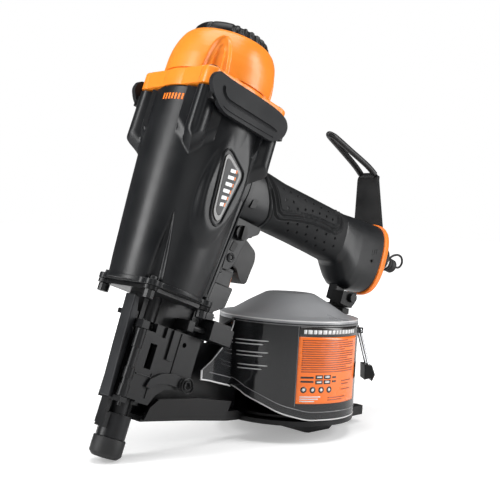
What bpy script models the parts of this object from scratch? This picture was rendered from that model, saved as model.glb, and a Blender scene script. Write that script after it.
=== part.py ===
# Coil siding nailer, an assembly of separate pieces.  Metres, +Z up.
# Every piece is drawn in the tool frame: origin at the mouth of the nose tip, z up the drive axis,
# x rearward towards the air plug, y to the operator's right.  One design unit is 0.94 mm.
# The whole tool then stands on its nose tip and on the foot of its magazine base, which leans the
# drive axis back by STANCE_DEG.
import math
import bpy
import bmesh
import numpy as np
from mathutils import Matrix, Vector

for _o in list(bpy.data.objects):
    bpy.data.objects.remove(_o, do_unlink=True)

# ---------------------------------------------------------------- driving dimensions
U = 0.00094                 # metres per design unit
STANCE_DEG = 19.0           # lean of the drive axis when the tool stands on the floor
GAP = 0.3                   # running gap between neighbouring pieces
SCREW_XY = 33.0             # half spacing of the four cap screws
Z_FLANGE = (119.8, 124.0)   # lower flange of the body
Z_BODY_TOP = 262.0
Z_CAP = (263.6, 277.0)      # square band of the cylinder cap
R_BORE = 33.0               # main bore of the body
R_SLEEVE = (22.5, 25.0)     # cylinder liner
STROKE = 104.0               # driver stroke
R_BLADE = 2.9
R_CHANNEL = 3.4             # drive channel in the nose
FLANGE_X, FLANGE_Y = 24.8, 27.0   # nose bolts
CAN_O = Vector((139.43, 0.0, 142.92))   # centre of the magazine rim
CAN_TILT = 17.23            # lean of the magazine axis
CAN_R = 57.3
CAN_H = 75.4
PIN_E, PIN_Y = 62.8, -3.0   # cover hinge pin in magazine coordinates
PLUG_Z = 223.0              # height of the air plug axis
ROD_X = 56.0                # contact rod behind the barrel
FEED_Y, FEED_Z = -17.0, 106.0
DOOR_HX, DOOR_HY = -11.0, -13.0
TRIG_X, TRIG_Z = 48.7, 163.7

ca, sa = math.cos(math.radians(CAN_TILT)), math.sin(math.radians(CAN_TILT))
CAN_M = Matrix(((ca, 0, -sa, CAN_O.x), (0, 1, 0, CAN_O.y), (sa, 0, ca, CAN_O.z), (0, 0, 0, 1)))

# ---------------------------------------------------------------- materials
MATS = {}


def material(name, color, rough, metal):
    m = bpy.data.materials.new(name)
    m.use_nodes = True
    b = m.node_tree.nodes["Principled BSDF"]
    b.inputs["Base Color"].default_value = (*color, 1)
    b.inputs["Roughness"].default_value = rough
    b.inputs["Metallic"].default_value = metal
    m.diffuse_color = (*color, 1)
    MATS[name] = m


CHAR = ((0.045, 0.048, 0.052), 0.45, 0.2)
ORANGE = ((0.90, 0.25, 0.02), 0.42, 0.0)
BLACK = ((0.02, 0.02, 0.022), 0.55, 0.0)
RUBBER = ((0.03, 0.031, 0.034), 0.8, 0.0)
STEEL = ((0.55, 0.56, 0.58), 0.3, 1.0)
BLACKSTEEL = ((0.05, 0.05, 0.055), 0.4, 0.8)
SMOKE = ((0.25, 0.26, 0.27), 0.15, 0.0)
ALU = ((0.7, 0.7, 0.72), 0.35, 1.0)
GUARD = ((0.11, 0.12, 0.13), 0.45, 0.6)

# ---------------------------------------------------------------- solids
# A solid is (points, faces) in design units of the tool frame.


def loft(rings, close=False):
    n = len(rings[0])
    pts = [p for r in rings for p in r]
    fs = []
    k = len(rings)
    for i in range(k if close else k - 1):
        a, b = i * n, ((i + 1) % k) * n
        for j in range(n):
            fs.append((a + j, a + (j + 1) % n, b + (j + 1) % n, b + j))
    if not close:
        fs.append(tuple(reversed(range(n))))
        fs.append(tuple(range((k - 1) * n, k * n)))
    return pts, fs


def lathe(prof, n=24, centre=(0, 0), a0=0.0):
    # prof is a closed loop of (radius, z); points with radius 0 sit on the axis
    pts, idx = [], []
    for r, z in prof:
        if r < 1e-6:
            idx.append([len(pts)] * n)
            pts.append((centre[0], centre[1], z))
        else:
            s = len(pts)
            idx.append(list(range(s, s + n)))
            for j in range(n):
                t = a0 + 2 * math.pi * j / n
                pts.append((centre[0] + r * math.cos(t), centre[1] + r * math.sin(t), z))
    fs = []
    m = len(prof)
    for i in range(m):
        a, b = idx[i], idx[(i + 1) % m]
        for j in range(n):
            q = [a[j], a[(j + 1) % n], b[(j + 1) % n], b[j]]
            q = [v for k, v in enumerate(q) if v != q[k - 1]]
            if len(set(q)) >= 3:
                fs.append(tuple(q))
    return fix((pts, fs))


def fix(s):
    bm = bmesh.new()
    vs = [bm.verts.new(p) for p in s[0]]
    for f in s[1]:
        bm.faces.new([vs[i] for i in f])
    bmesh.ops.recalc_face_normals(bm, faces=bm.faces)
    bm.verts.index_update()
    out = ([tuple(v.co) for v in bm.verts], [tuple(v.index for v in f.verts) for f in bm.faces])
    bm.free()
    return out


def prism(poly, lo, hi, axis="y"):
    # poly lies in the plane across axis: xz for y, xy for z, yz for x
    def at(p, t):
        return {"y": (p[0], t, p[1]), "z": (p[0], p[1], t), "x": (t, p[0], p[1])}[axis]
    return fix(loft([[at(p, lo) for p in poly], [at(p, hi) for p in poly]]))


def box(x0, x1, y0, y1, z0, z1):
    return prism([(x0, z0), (x1, z0), (x1, z1), (x0, z1)], y0, y1, "y")


def circle(r, n, c=(0, 0), a0=0.0):
    return [(c[0] + r * math.cos(a0 + 2 * math.pi * i / n), c[1] + r * math.sin(a0 + 2 * math.pi * i / n)) for i in range(n)]


def cyl(r, lo, hi, c=(0, 0), axis="z", n=14, a0=0.0):
    return prism(circle(r, n, c, a0), lo, hi, axis)


def moved(s, m):
    return [tuple(m @ Vector(p)) for p in s[0]], s[1]


def can(s):
    return moved(s, CAN_M)


def mesh_of(s):
    me = bpy.data.meshes.new("m")
    me.from_pydata(s[0], [], s[1])
    bm = bmesh.new()
    bm.from_mesh(me)
    bmesh.ops.recalc_face_normals(bm, faces=bm.faces)
    bm.to_mesh(me)
    bm.free()
    return me


def boolean(a, b, op):
    oa = bpy.data.objects.new("a", mesh_of(a))
    ob = bpy.data.objects.new("b", mesh_of(b))
    for o in (oa, ob):
        bpy.context.scene.collection.objects.link(o)
    ob.hide_render = True
    ob.display_type = "WIRE"
    md = oa.modifiers.new("cut", "BOOLEAN")
    md.operation = op
    md.solver = "EXACT"
    md.object = ob
    dg = bpy.context.evaluated_depsgraph_get()
    me = bpy.data.meshes.new_from_object(oa.evaluated_get(dg))
    bm = bmesh.new()
    bm.from_mesh(me)
    bmesh.ops.remove_doubles(bm, verts=bm.verts, dist=0.0005)
    bmesh.ops.dissolve_limit(bm, angle_limit=math.radians(0.3), verts=bm.verts, edges=bm.edges)
    bm.verts.index_update()
    out = ([tuple(v.co) for v in bm.verts], [tuple(v.index for v in f.verts) for f in bm.faces])
    bm.free()
    bpy.data.objects.remove(oa, do_unlink=True)
    bpy.data.objects.remove(ob, do_unlink=True)
    return out


def join(*parts):
    out = parts[0]
    for p in parts[1:]:
        out = boolean(out, p, "UNION")
    return out


def cut(a, *tools):
    for t in tools:
        a = boolean(a, t, "DIFFERENCE")
    return a


def coil(r, z0, z1, turns, wire, centre=(0, 0), n=8, k=5):
    steps = int(turns * n)
    rings = []
    for i in range(steps + 1):
        t = 2 * math.pi * i / n
        z = z0 + wire + (z1 - z0 - 2 * wire) * i / steps
        rings.append([(centre[0] + (r + wire * math.cos(2 * math.pi * j / k)) * math.cos(t),
                       centre[1] + (r + wire * math.cos(2 * math.pi * j / k)) * math.sin(t),
                       z + wire * math.sin(2 * math.pi * j / k)) for j in range(k)])
    return fix(loft(rings))


def tube_path(path, r, k=6):
    # round rod through points, with mitred bends
    P = [Vector(p) for p in path]
    T = []
    for i in range(len(P)):
        d = (P[min(i + 1, len(P) - 1)] - P[max(i - 1, 0)]).normalized()
        T.append(d)
    up = Vector((0, 1, 0)) if abs(T[0].y) < 0.9 else Vector((0, 0, 1))
    u = (up - up.dot(T[0]) * T[0]).normalized()
    rings = []
    for i, p in enumerate(P):
        u = (u - u.dot(T[i]) * T[i]).normalized()
        v = T[i].cross(u)
        rings.append([tuple(p + r * (math.cos(2 * math.pi * j / k) * u + math.sin(2 * math.pi * j / k) * v)) for j in range(k)])
    return fix(loft(rings))


ROOT = bpy.data.objects.new("gun_frame", None)
bpy.context.scene.collection.objects.link(ROOT)


def add(name, s, look, origin=(0, 0, 0)):
    o = Vector(origin)
    me = mesh_of(([tuple((Vector(p) - o) * U) for p in s[0]], s[1]))
    me.name = name
    ob = bpy.data.objects.new(name, me)
    bpy.context.scene.collection.objects.link(ob)
    ob.parent = ROOT
    ob.location = o * U
    key = "mat_" + name
    material(key, *look)
    me.materials.append(MATS[key])
    return ob


# ---------------------------------------------------------------- body housing
def barrel_radius(th, z):
    zs = [122, 140, 155, 185, 215, 240, 262]
    rs = [35.4, 36.9, 37.8, 39.7, 41.4, 42.2, 42.4]
    r0 = float(np.interp(z, zs, rs))
    w = min(1.0, max(0.0, (z - 212) / 24.0))
    w = w * w * (3 - 2 * w)
    ph = abs((math.degrees(th) % 90) - 45)
    d = SCREW_XY * math.sqrt(2)
    rb = 7.4
    s = d * math.sin(math.radians(ph))
    lobe = d * math.cos(math.radians(ph)) + math.sqrt(rb * rb - s * s) if s < rb else 0
    if ph < 18:
        lobe = max(lobe, 44.5)
    return r0 + w * max(0.0, lobe - r0)


LOBE_ANG = [0, 15, 27, 34, 38, 41.5, 45, 48.5, 52, 56, 63, 75]


def barrel():
    ang = [math.radians(a + 90 * q) for q in range(4) for a in LOBE_ANG]
    rings = []
    for z in (122, 140, 160, 185, 212, 220, 228, 236, 262):
        rings.append([(barrel_radius(t, z) * math.cos(t), barrel_radius(t, z) * math.sin(t), z) for t in ang])
    return fix(loft(rings))


def section(x, zt, zb, hw, n=16, p=2.7):
    zc, hh = (zt + zb) / 2, (zt - zb) / 2
    out = []
    for i in range(n):
        t = 2 * math.pi * i / n
        c, s = math.cos(t), math.sin(t)
        out.append((x, hw * math.copysign(abs(c) ** (2 / p), c), zc + hh * math.copysign(abs(s) ** (2 / p), s)))
    return out


def square_plate(h, c, z0, z1):
    k = h - c
    return prism([(h, -k), (h, k), (k, h), (-k, h), (-h, k), (-h, -k), (-k, -h), (k, -h)], z0, z1, "z")


handle_core = fix(loft([section(*a) for a in (
    (30, 244, 190, 17), (60, 240, 194, 18), (85.6, 239.4, 198, 17.6), (86.0, 235.8, 201.6, 14.6),
    (163, 238.4, 201.6, 14.6), (163.4, 242, 198.2, 17.6), (169, 242.8, 196.8, 18.0), (184, 245, 181.6, 19), (200, 246.8, 183.2, 19.2), (212.8, 248.2, 185.6, 19.2))]))
air_space = fix(loft([section(*a, n=12) for a in ((58, 231, 205, 10.5), (160, 233, 205, 10.5), (184, 239, 192, 14), (216, 241.5, 193, 14.5))]))
shell = barrel()
shell = join(shell, handle_core)
shell = join(shell, prism([(31.2, -22), (31.2, 22), (22, 31.2), (-22, 31.2), (-31.2, 22), (-31.2, -22), (-22, -31.2), (22, -31.2)], *Z_FLANGE, "z"))
for sx in (-1, 1):
    for sy in (-1, 1):
        shell = join(shell, cyl(5.6, *Z_FLANGE, (sx * FLANGE_X, sy * FLANGE_Y), n=12))
# oval raised pads that carry the side badges
for sy in (-1, 1):
    oval = [(1.5 + 17 * math.cos(t) + 4 * math.sin(t), 204 + 47 * math.sin(t)) for t in [2 * math.pi * i / 20 for i in range(20)]]
    small = [(1.5 + 11 * math.cos(t) + 3 * math.sin(t), 204 + 38 * math.sin(t)) for t in [2 * math.pi * i / 20 for i in range(20)]]
    ys = (36 * sy, 39 * sy, 41.8 * sy)
    shell = join(shell, fix(loft([[(p[0], ys[0], p[1]) for p in oval], [(p[0], ys[1], p[1]) for p in oval], [(p[0], ys[2], p[1]) for p in small]])))
# trigger cheeks, wheel housing
side = [(33, 195), (71, 195), (70.5, 189.5), (60.5, 183), (57, 172), (54.5, 160), (50, 153.5), (33, 153.5)]
for y0, y1 in ((-13, -8.3), (8.3, 13)):
    shell = join(shell, prism(side, y0, y1))
shell = join(shell, box(32, 44.6, -13, 13, 150, 195))
shell = join(shell, prism([(33, 118.5), (46, 118.5), (59.5, 127), (62, 142.9), (33, 142.9)], -11, 11))
shell = join(shell, box(33, 49.5, -11, 11, 141, 154))
shell = join(shell, prism([(33, 152.5), (61, 152.5), (59.5, 157.0), (33, 157.0)], -8.6, 8.6))
# tongue for the magazine bracket
shell = join(shell, box(182, 193, -4.6, 4.6, 171, 190))
# bores
shell = cut(shell,
            cyl(R_BORE, 127, 264, n=32),
            cyl(14.0, 116, 128, n=16),
            cyl(2.4, -9, 9, (189.0, 175.0), "y", n=8),
            air_space,
            cyl(3.0, 117, 160, (ROD_X, 0), n=10),
            cyl(8.9, 142.7, 152.75, (ROD_X, 0), n=20),
            cyl(7.8, 186, 206.5, (66.0, 0), n=14))
for sx in (-1, 1):
    for sy in (-1, 1):
        shell = cut(shell, cyl(3.2, 231, 264, (sx * SCREW_XY, sy * SCREW_XY), n=10),
                    cyl(2.9, 117, 125, (sx * FLANGE_X, sy * FLANGE_Y), n=10))
shell = cut(shell, cyl(1.9, -14, 14, (TRIG_X, TRIG_Z), "y", n=10))
shell = cut(shell, cyl(2.9, -14, -7, (50.5, 184.0), "y", n=10))
for y in (-11.5, 11.5):
    shell = join(shell, cyl(3.6, 196, 212.8, (y, 199.5), "x", n=8))
for y in (-11.5, 11.5):
    shell = cut(shell, cyl(1.6, 205, 217.5, (y, 199.5), "x", n=8))
add("body_housing", shell, CHAR)

# ---------------------------------------------------------------- handle grip
outer = fix(loft([section(*a) for a in ((86.3, 239.5, 198.0, 17.7), (118, 240.6, 198.6, 18.0), (145, 241.4, 198.6, 18.0), (162.6, 242.0, 198.3, 17.7))]))
inner = fix(loft([section(*a) for a in ((85, 236.3, 201.1, 15.1), (165, 238.9, 201.1, 15.1))]))
add("handle_grip", cut(outer, inner), RUBBER)

# ---------------------------------------------------------------- cap
cap = square_plate(40.5, 11.0, *Z_CAP)
cap = join(cap, *[cyl(7.4, Z_CAP[0], 276.4, (sx * SCREW_XY, sy * SCREW_XY), n=12) for sx in (-1, 1) for sy in (-1, 1)])
dome = lathe([(0, 268), (41.3, 268), (41.5, 280), (41.2, 290), (39.6, 300), (36.8, 308), (33.6, 313), (30.8, 314.2), (0, 314.2)], 32)
cap = join(cap, dome)
cap = cut(cap, lathe([(0, 262), (30, 262), (30, 296), (26, 302), (0, 302)], 24), cyl(3.1, 300, 316, n=10))
for sx in (-1, 1):
    for sy in (-1, 1):
        cap = cut(cap, cyl(6.2, 271.6, 306, (sx * SCREW_XY, sy * SCREW_XY), n=12), cyl(3.2, 262, 279, (sx * SCREW_XY, sy * SCREW_XY), n=10))
add("cylinder_cap", cap, ORANGE)
add("cap_gasket", lathe([(33.4, 262.3), (41.2, 262.3), (41.2, 263.3), (33.4, 263.3)], 28), RUBBER)
i = 0
for sx in (-1, 1):
    for sy in (-1, 1):
        i += 1
        x, y = sx * SCREW_XY, sy * SCREW_XY
        add("cap_screw_%d" % i, lathe([(0, 233), (2.9, 233), (2.9, 271.9), (4.8, 271.9), (4.8, 278.2), (2.4, 278.2), (2.4, 275.2), (0, 275.2)], 10, (x, y)), BLACKSTEEL)

# ---------------------------------------------------------------- exhaust
add("exhaust_deflector", lathe([(3.1, 314.5), (29.8, 314.5), (29.9, 317.5), (28.4, 320.6), (25.6, 322.5), (8, 322.5), (7, 318.6), (3.1, 318.6)], 32), BLACK)
add("exhaust_bolt", lathe([(0, 303), (2.8, 303), (2.8, 318.9), (5.6, 318.9), (5.6, 322.3), (0, 322.3)], 12), BLACKSTEEL)

# ---------------------------------------------------------------- side bumpers
BUMP = [(-41.5, 266), (-40.2, 270.6), (-37, 272.6), (-31, 270.6), (-22, 262.2), (22, 262.2), (31, 266), (36.5, 266.6), (38.5, 262), (36.5, 254), (30, 249),
        (24, 247), (-22, 247), (-29, 249.5), (-38, 257)]
for sy, nm in ((-1, "left"), (1, "right")):
    pad = prism(BUMP, 42.8 * sy, 46.8 * sy)
    for x in (-SCREW_XY, SCREW_XY):
        pad = join(pad, box(x - 4, x + 4, min(40.9 * sy, 45 * sy), max(40.9 * sy, 45 * sy), 252, 260))
    add("bumper_" + nm, pad, RUBBER)

# ---------------------------------------------------------------- inside the barrel
add("cylinder_sleeve", lathe([(22.5, 127.4), (R_SLEEVE[1], 127.4), (R_SLEEVE[1], 243), (32.6, 243), (32.6, 248), (22.5, 248)], 28), ALU)
add("piston_bumper", lathe([(6, 127.5), (22.1, 127.5), (22.1, 131), (20, 134), (6, 134)], 20), RUBBER)
add("driver_piston", lathe([(0, 236.2), (5.4, 236.2), (5.4, 238.3), (22.2, 238.3), (22.2, 246), (0, 246)], 24), ALU)
add("driver_blade", cyl(R_BLADE, 108, 235.9, n=12), STEEL)
add("head_valve", lathe([(18, 248.4), (32.4, 248.4), (32.4, 256), (29.3, 256), (29.3, 258), (18, 258)], 24), BLACK)
add("head_valve_spring", coil(25.5, 258.3, 295, 3.5, 1.1, n=10, k=4), STEEL)

# ---------------------------------------------------------------- rear end of the handle
cap_ring = fix(loft([section(*a, n=20) for a in ((213.1, 249.6, 184.4, 20.0), (215.8, 250.0, 184.2, 20.2), (220.6, 248.2, 187.0, 19.0))]))
cap_ring = join(cap_ring, cyl(12.5, 218, 226.5, (0, PLUG_Z), "x", n=18))
cap_ring = cut(cap_ring, cyl(7.0, 212, 229, (0, PLUG_Z), "x", n=16))
for y in (-11.5, 11.5):
    cap_ring = cut(cap_ring, cyl(1.6, 212, 226, (y, 199.5), "x", n=8))
add("end_cap", cap_ring, ORANGE)
for i, y in enumerate((-11.5, 11.5)):
    s = join(cyl(1.3, 207, 222, (y, 199.5), "x", n=8), cyl(3.0, 220.9, 223.2, (y, 199.5), "x", n=10))
    add("end_cap_screw_%d" % (i + 1), s, BLACKSTEEL)


def about_x(prof, n, yc=0.0, zc=PLUG_Z):
    s = lathe(prof, n)
    return [(p[2], yc + p[0], zc + p[1]) for p in s[0]], s[1]


plug = about_x([(2.6, 217), (6.7, 217), (6.7, 233.6), (8.0, 233.6), (8.0, 238.4), (4.4, 238.6), (4.4, 241.5), (5.3, 242.5), (5.3, 244.5), (3.6, 246), (4.3, 250), (2.6, 250)], 14)
add("air_plug", fix(plug), STEEL)
cup = about_x([(4.9, 246.6), (6.2, 246.6), (6.2, 252.6), (4.5, 253.6), (0, 253.6), (0, 250.4), (4.9, 250.4)], 14)
strap = tube_path([(249, 5.6, PLUG_Z + 1), (256, 8.5, PLUG_Z + 5), (261, 6.5, PLUG_Z + 9), (260, 1, PLUG_Z + 11), (251, -4.5, PLUG_Z + 10.4), (243.4, -3.1, PLUG_Z + 5.9)], 1.0, 5)
band = about_x([(5.7, 242.2), (7.0, 242.2), (7.0, 244.6), (5.7, 244.6)], 14)
add("dust_cap", join(fix(cup), strap, fix(band)), RUBBER, (250, 0, PLUG_Z))

# ---------------------------------------------------------------- belt hook
HOOK_T = (227.6, 231.6)
ringp = prism(circle(13.2, 16, (0, PLUG_Z)), *HOOK_T, "x")
strip = prism([(2, PLUG_Z + 8), (13.5, PLUG_Z), (36, 256), (46.8, 300), (45.5, 305.5), (22.5, 305.5), (21.8, 300), (2.5, 252)], *HOOK_T, "x")
arm = [(231.9, 299.5), (231.9, 305.6), (224, 309.6), (170, 319), (162.5, 319.8), (158.6, 316), (161.5, 311.6), (182, 304.3), (224, 303.9)]
armp = prism(arm, 22.6, 45.4)
# the arm narrows to its tip and is pierced by a long triangle
tl = prism([(214, 49), (214, 44.5), (165, 37.8), (156, 37.8), (156, 49)], 295, 325, "z")
tr = prism([(214, 19), (214, 24.0), (165, 30.5), (156, 30.5), (156, 19)], 295, 325, "z")
tri = prism([(216, 27.5), (216, 41), (183, 36.2), (183, 32.6)], 290, 325, "z")
armp = cut(armp, tl, tr, tri)
# hollow out the underside so that the arm is a bent strip
under = prism([(227.8, 290), (227.8, 300.8), (222.5, 305.6), (170, 315.6), (182, 300), (215, 290)], 18, 50)
armp = cut(armp, under)
hook = join(ringp, strip, armp)
hook = cut(hook, prism(circle(7.2, 14, (0, PLUG_Z)), 226, 234, "x"))
add("belt_hook", hook, BLACKSTEEL, (230, 0, PLUG_Z))

# ---------------------------------------------------------------- trigger group
TR = [(45.6, 165.5), (46.3, 160.8), (54, 159.6), (61.8, 160.8), (69.8, 151.6), (74.2, 149.6), (77.2, 152), (78.0, 160), (79.6, 170.5), (77.5, 177.5), (65.5, 183.0), (60, 183.0), (54, 175), (47, 167.8)]
trig = prism(TR, -7.6, 7.6)
trig = cut(trig, prism([(51.6, 155), (61, 155), (73.8, 160.5), (75.6, 172), (73, 190), (53, 190), (51.6, 175)], -4.2, 4.2), cyl(2.1, -9, 9, (TRIG_X, TRIG_Z), "y", n=10), cyl(1.6, -6.3, 6.3, (70.0, 167.2), "y", n=8))
add("trigger", trig, CHAR, (TRIG_X, 0, TRIG_Z))
add("trigger_pin", cyl(1.7, -13.6, 13.6, (TRIG_X, TRIG_Z), "y", n=10), STEEL)
lev = prism([(54.6, 174.0), (60, 173.0), (70.5, 164.2), (72.4, 167.4), (69, 177), (66, 178.6), (60, 177.6), (54.6, 176.2)], -3.6, 3.6)
lev = join(lev, cyl(1.3, -6.0, 6.0, (70.0, 167.2), "y", n=8))
add("trigger_lever", lev, STEEL, (70.0, 0, 167.2))
add("trigger_valve_body", lathe([(2.4, 187), (7.4, 187), (7.4, 206.2), (2.4, 206.2)], 14, (66.0, 0)), BLACK)
add("trigger_valve_stem", lathe([(0, 179.0), (2.1, 179.0), (2.1, 200.0), (0, 200.0)], 10, (66.0, 0)), STEEL)
sel = join(cyl(5.8, -16.2, -13.4, (50.5, 184.0), "y", n=14), cyl(2.6, -14, -8.8, (50.5, 184.0), "y", n=10), box(48.9, 52.1, -18.8, -16.0, 178.6, 189.4))
add("mode_selector", sel, BLACK, (50.5, -14, 184.0))

# ---------------------------------------------------------------- contact arm and depth wheel
ringc = lathe([(4.6, 2.8), (8.3, 2.8), (8.3, 14.3), (10.5, 14.3), (10.5, 31), (7.3, 31), (7.3, 14.6), (4.6, 14.3)], 20)
strap = box(-12.7, -9.8, -2.6, 6, 22, 103)
foot = box(-12.7, -7.8, -5, 5, 20, 30.5)
bridge = join(box(-12.7, -9.8, -2.5, 19, 99.5, 103), box(-12.5, 58, 16, 19, 99.5, 103), box(52.5, 59, -3, 18.8, 99.5, 103), cyl(2.3, 100, 164.6, (ROD_X, 0), n=10))
add("contact_arm", cut(join(ringc, foot, strap, bridge), cyl(7.3, 14.6, 33, n=20)), BLACKSTEEL)
add("no_mar_tip", lathe([(4.6, 0), (9.2, 0), (11.6, 3), (11.6, 14), (8.6, 14), (8.6, 2.5), (4.6, 2.5)], 20), RUBBER)
add("contact_spring", coil(4.4, 103.3, 119.0, 4, 0.6, (ROD_X, 0), n=8, k=4), STEEL)
wheel = lathe([(2.9, 143.2), (7.6, 143.2), (8.5, 144.2), (8.5, 151.2), (7.6, 152.2), (2.9, 152.2)], 20, (ROD_X, 0))
add("depth_wheel", wheel, ORANGE, (ROD_X, 0, 148))

# ---------------------------------------------------------------- nose
nose = prism([(29, -24), (27, -13), (18, -13), (18, 13), (27, 13), (29, 24), (21, 29), (-21, 29), (-27, 24), (-27, -24), (-21, -29), (21, -29)], 116.8, 119.5, "z")
for sx in (-1, 1):
    for sy in (-1, 1):
        nose = join(nose, cyl(5.2, 116.8, 119.5, (sx * FLANGE_X, sy * FLANGE_Y), n=12))
nose = join(nose, box(-9.5, 12, -3.6, 15.6, 39.5, 118), box(11, 38, -3.6, 14, 98.9, 118), cyl(6.9, 22, 43, n=16), cyl(6.9, 98.6, 118, n=16), cyl(13.6, 117, 126.8, n=16))
nose = join(nose, box(11, 36, 7.5, 14, 45, 95))
# hinge lugs for the door and feet for the front guard
nose = join(nose, box(-13.8, -7.9, -16, -3, 92, 97.5), box(-13.8, -7.9, -16, -3, 39.5, 43))
nose = cut(nose, cyl(R_CHANNEL, 20, 128, n=12), box(0, 14, -3.9, 3.6, 43.2, 98.4), box(-2.6, 2.6, -8, 0, 43.2, 98.4), cyl(1.5, 30, 99, (DOOR_HX, DOOR_HY), n=8))
for sx in (-1, 1):
    for sy in (-1, 1):
        nose = cut(nose, cyl(2.9, 110, 121, (sx * FLANGE_X, sy * FLANGE_Y), n=10))
nose = cut(nose, cyl(1.9, 6, 16, (24, 72), "y", n=8))
add("nose_piece", nose, BLACKSTEEL)
i = 0
for sx in (-1, 1):
    for sy in (-1, 1):
        i += 1
        add("nose_bolt_%d" % i, lathe([(0, 110.8), (4.2, 110.8), (4.2, 116.5), (2.6, 116.5), (2.6, 123.8), (0, 123.8)], 10, (sx * FLANGE_X, sy * FLANGE_Y)), BLACKSTEEL)
guard = prism([(-17.0, 41), (-14.1, 41), (-14.1, 102), (-16.4, 112.5), (-20.6, 113.5), (-19.2, 78)], -6.8, 4.6)
add("nose_guard", guard, GUARD)

# ---------------------------------------------------------------- feed
fh = join(box(40, 61.5, -26, -9.2, 98.6, 110.8), box(42, 60, -24, -11, 109, 113.5))
fh = cut(fh, cyl(5.2, 42.5, 63, (FEED_Y, FEED_Z - 2), "x", n=14), cyl(2.3, 38, 44, (FEED_Y, FEED_Z - 2), "x", n=10))
add("feed_housing", fh, BLACKSTEEL)
add("feed_plug", join(cyl(5.0, 58.6, 63.5, (FEED_Y, FEED_Z - 2), "x", n=14), cyl(6.2, 61.8, 64.5, (FEED_Y, FEED_Z - 2), "x", n=14)), BLACKSTEEL)
fp = join(cyl(4.9, 53.2, 57.4, (FEED_Y, FEED_Z - 2), "x", n=14), cyl(2.1, 25, 54, (FEED_Y, FEED_Z - 2), "x", n=10), box(22.5, 28.5, -20, -4.6, 100.2, 108), box(22.5, 28.5, -8.6, -4.6, 80, 101))
add("feed_piston", fp, BLACKSTEEL)
fs = coil(3.9, 42.9, 52.9, 3.5, 0.5, n=8, k=4)
add("feed_spring", fix(([(p[2], FEED_Y + p[0], FEED_Z - 2 + p[1]) for p in fs[0]], fs[1])), STEEL)

# ---------------------------------------------------------------- nose door
door = prism([(-7.4, 42), (12, 42), (16, 50), (23, 56), (43, 60), (43, 98), (-7.4, 98)], -14.6, -9.4)
door = join(door, cyl(3.0, 43.4, 91.6, (DOOR_HX, DOOR_HY), n=12), box(-11, -6, -14.6, -11.4, 43.4, 91.6))
door = join(door, box(-6.5, 12, -10, -4.3, 44, 54), box(10, 43, -10, -4.3, 61.5, 66), box(31, 43, -10, -4.3, 93, 97.6))
door = join(door, box(15, 20.5, -16.4, -14, 76, 97.6))
door = cut(door, cyl(1.5, 42, 93, (DOOR_HX, DOOR_HY), n=8), box(-1, 5, -16, -9, 66, 84), cyl(1.9, -18, -9, (28.8, 90), "y", n=10), box(2, 10, -16, -12.5, 90, 99), box(-12, 0.3, -16, -9, 91.7, 99), box(-12, 0.3, -16, -9, 41, 43.3))
door = cut(door, cyl(1.7, -16, -9, (38.5, 62.8), "y", n=8))
add("nose_door", door, BLACKSTEEL, (DOOR_HX, DOOR_HY, 68))
add("door_pin", cyl(1.3, 37, 98.5, (DOOR_HX, DOOR_HY), n=8), STEEL)
lx, lz = 38.5, 62.8
lat = join(cyl(4.0, -16.9, -14.9, (lx, lz), "y", n=14), cyl(1.5, -17.5, -10.5, (lx, lz), "y", n=8))
lat = join(lat, prism([(lx, lz + 3.8), (26, 68.5), (15, 66), (6, 60), (4, 54), (8.5, 53), (14, 58), (24, 60), (lx - 1, lz - 3.6)], -16.9, -14.9))
add("door_latch", lat, BLACKSTEEL, (lx, -16, lz))
ls = coil(5.4, 0, 3.4, 2.0, 0.5, n=10, k=4)
add("latch_spring", fix(([(lx + p[0], -17.2 - p[2], lz + p[1]) for p in ls[0]], ls[1])), STEEL)


# ---------------------------------------------------------------- magazine base
def ribbon(path, th, top, bot, n_off=None):
    # wall of given thickness to the left of a path in the magazine plane
    P = [Vector((p[0], p[1], 0)) for p in path]
    N = []
    for k in range(len(P)):
        d = (P[min(k + 1, len(P) - 1)] - P[max(k - 1, 0)]).normalized()
        N.append(Vector((-d.y, d.x, 0)))
    rings = []
    for k, p in enumerate(P):
        q = p + N[k] * th
        t, b = top[k], bot[k]
        rings.append([(p.x, p.y, b), (q.x, q.y, b), (q.x, q.y, t), (p.x, p.y, t)])
    return fix(loft(rings))


def arc(r, a0, a1, n):
    return [(r * math.cos(math.radians(a0 + (a1 - a0) * k / n)), r * math.sin(math.radians(a0 + (a1 - a0) * k / n))) for k in range(n + 1)]


far = arc(CAN_R, 6, 174, 18)
base = can(ribbon(far, 2.2, [-2.4] * len(far), [-77] * len(far)))
base = join(base, can(cyl(CAN_R - 0.2, -79.5, -75.9, n=36)))
# neck: floor and far wall from the magazine to the nose
base = join(base, prism([(14, 33.4), (60, 44), (104, 57), (120, 54), (96, 47), (57, 39.2), (14, 29.6)], -9, 7.2))
base = join(base, prism([(14, 31), (112, 56), (96, 112), (86, 124.2), (77, 116), (66, 98.6), (14, 98.6)], 4.2, 7.2))
base = join(base, prism([(15, 31.5), (57, 40.3), (90, 47), (92, 62), (59, 57.2), (23, 48), (17, 41)], -12, -8.6))
# tail column with the lugs of the cover hinge
col = join(can(box(59.6, 68.5, 1.5, 13, -79, 6)), can(box(58.9, 67.5, -7, 3, 0.6, 5.6)), can(box(54, 68, -8, 3, -81, -76.2)))
base = join(base, col)
base = join(base, can(prism([(46, -30), (62, -26), (72.5, -25), (73.5, -18), (68, -6), (50, -2)], -84, -76.3, "z")))
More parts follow.
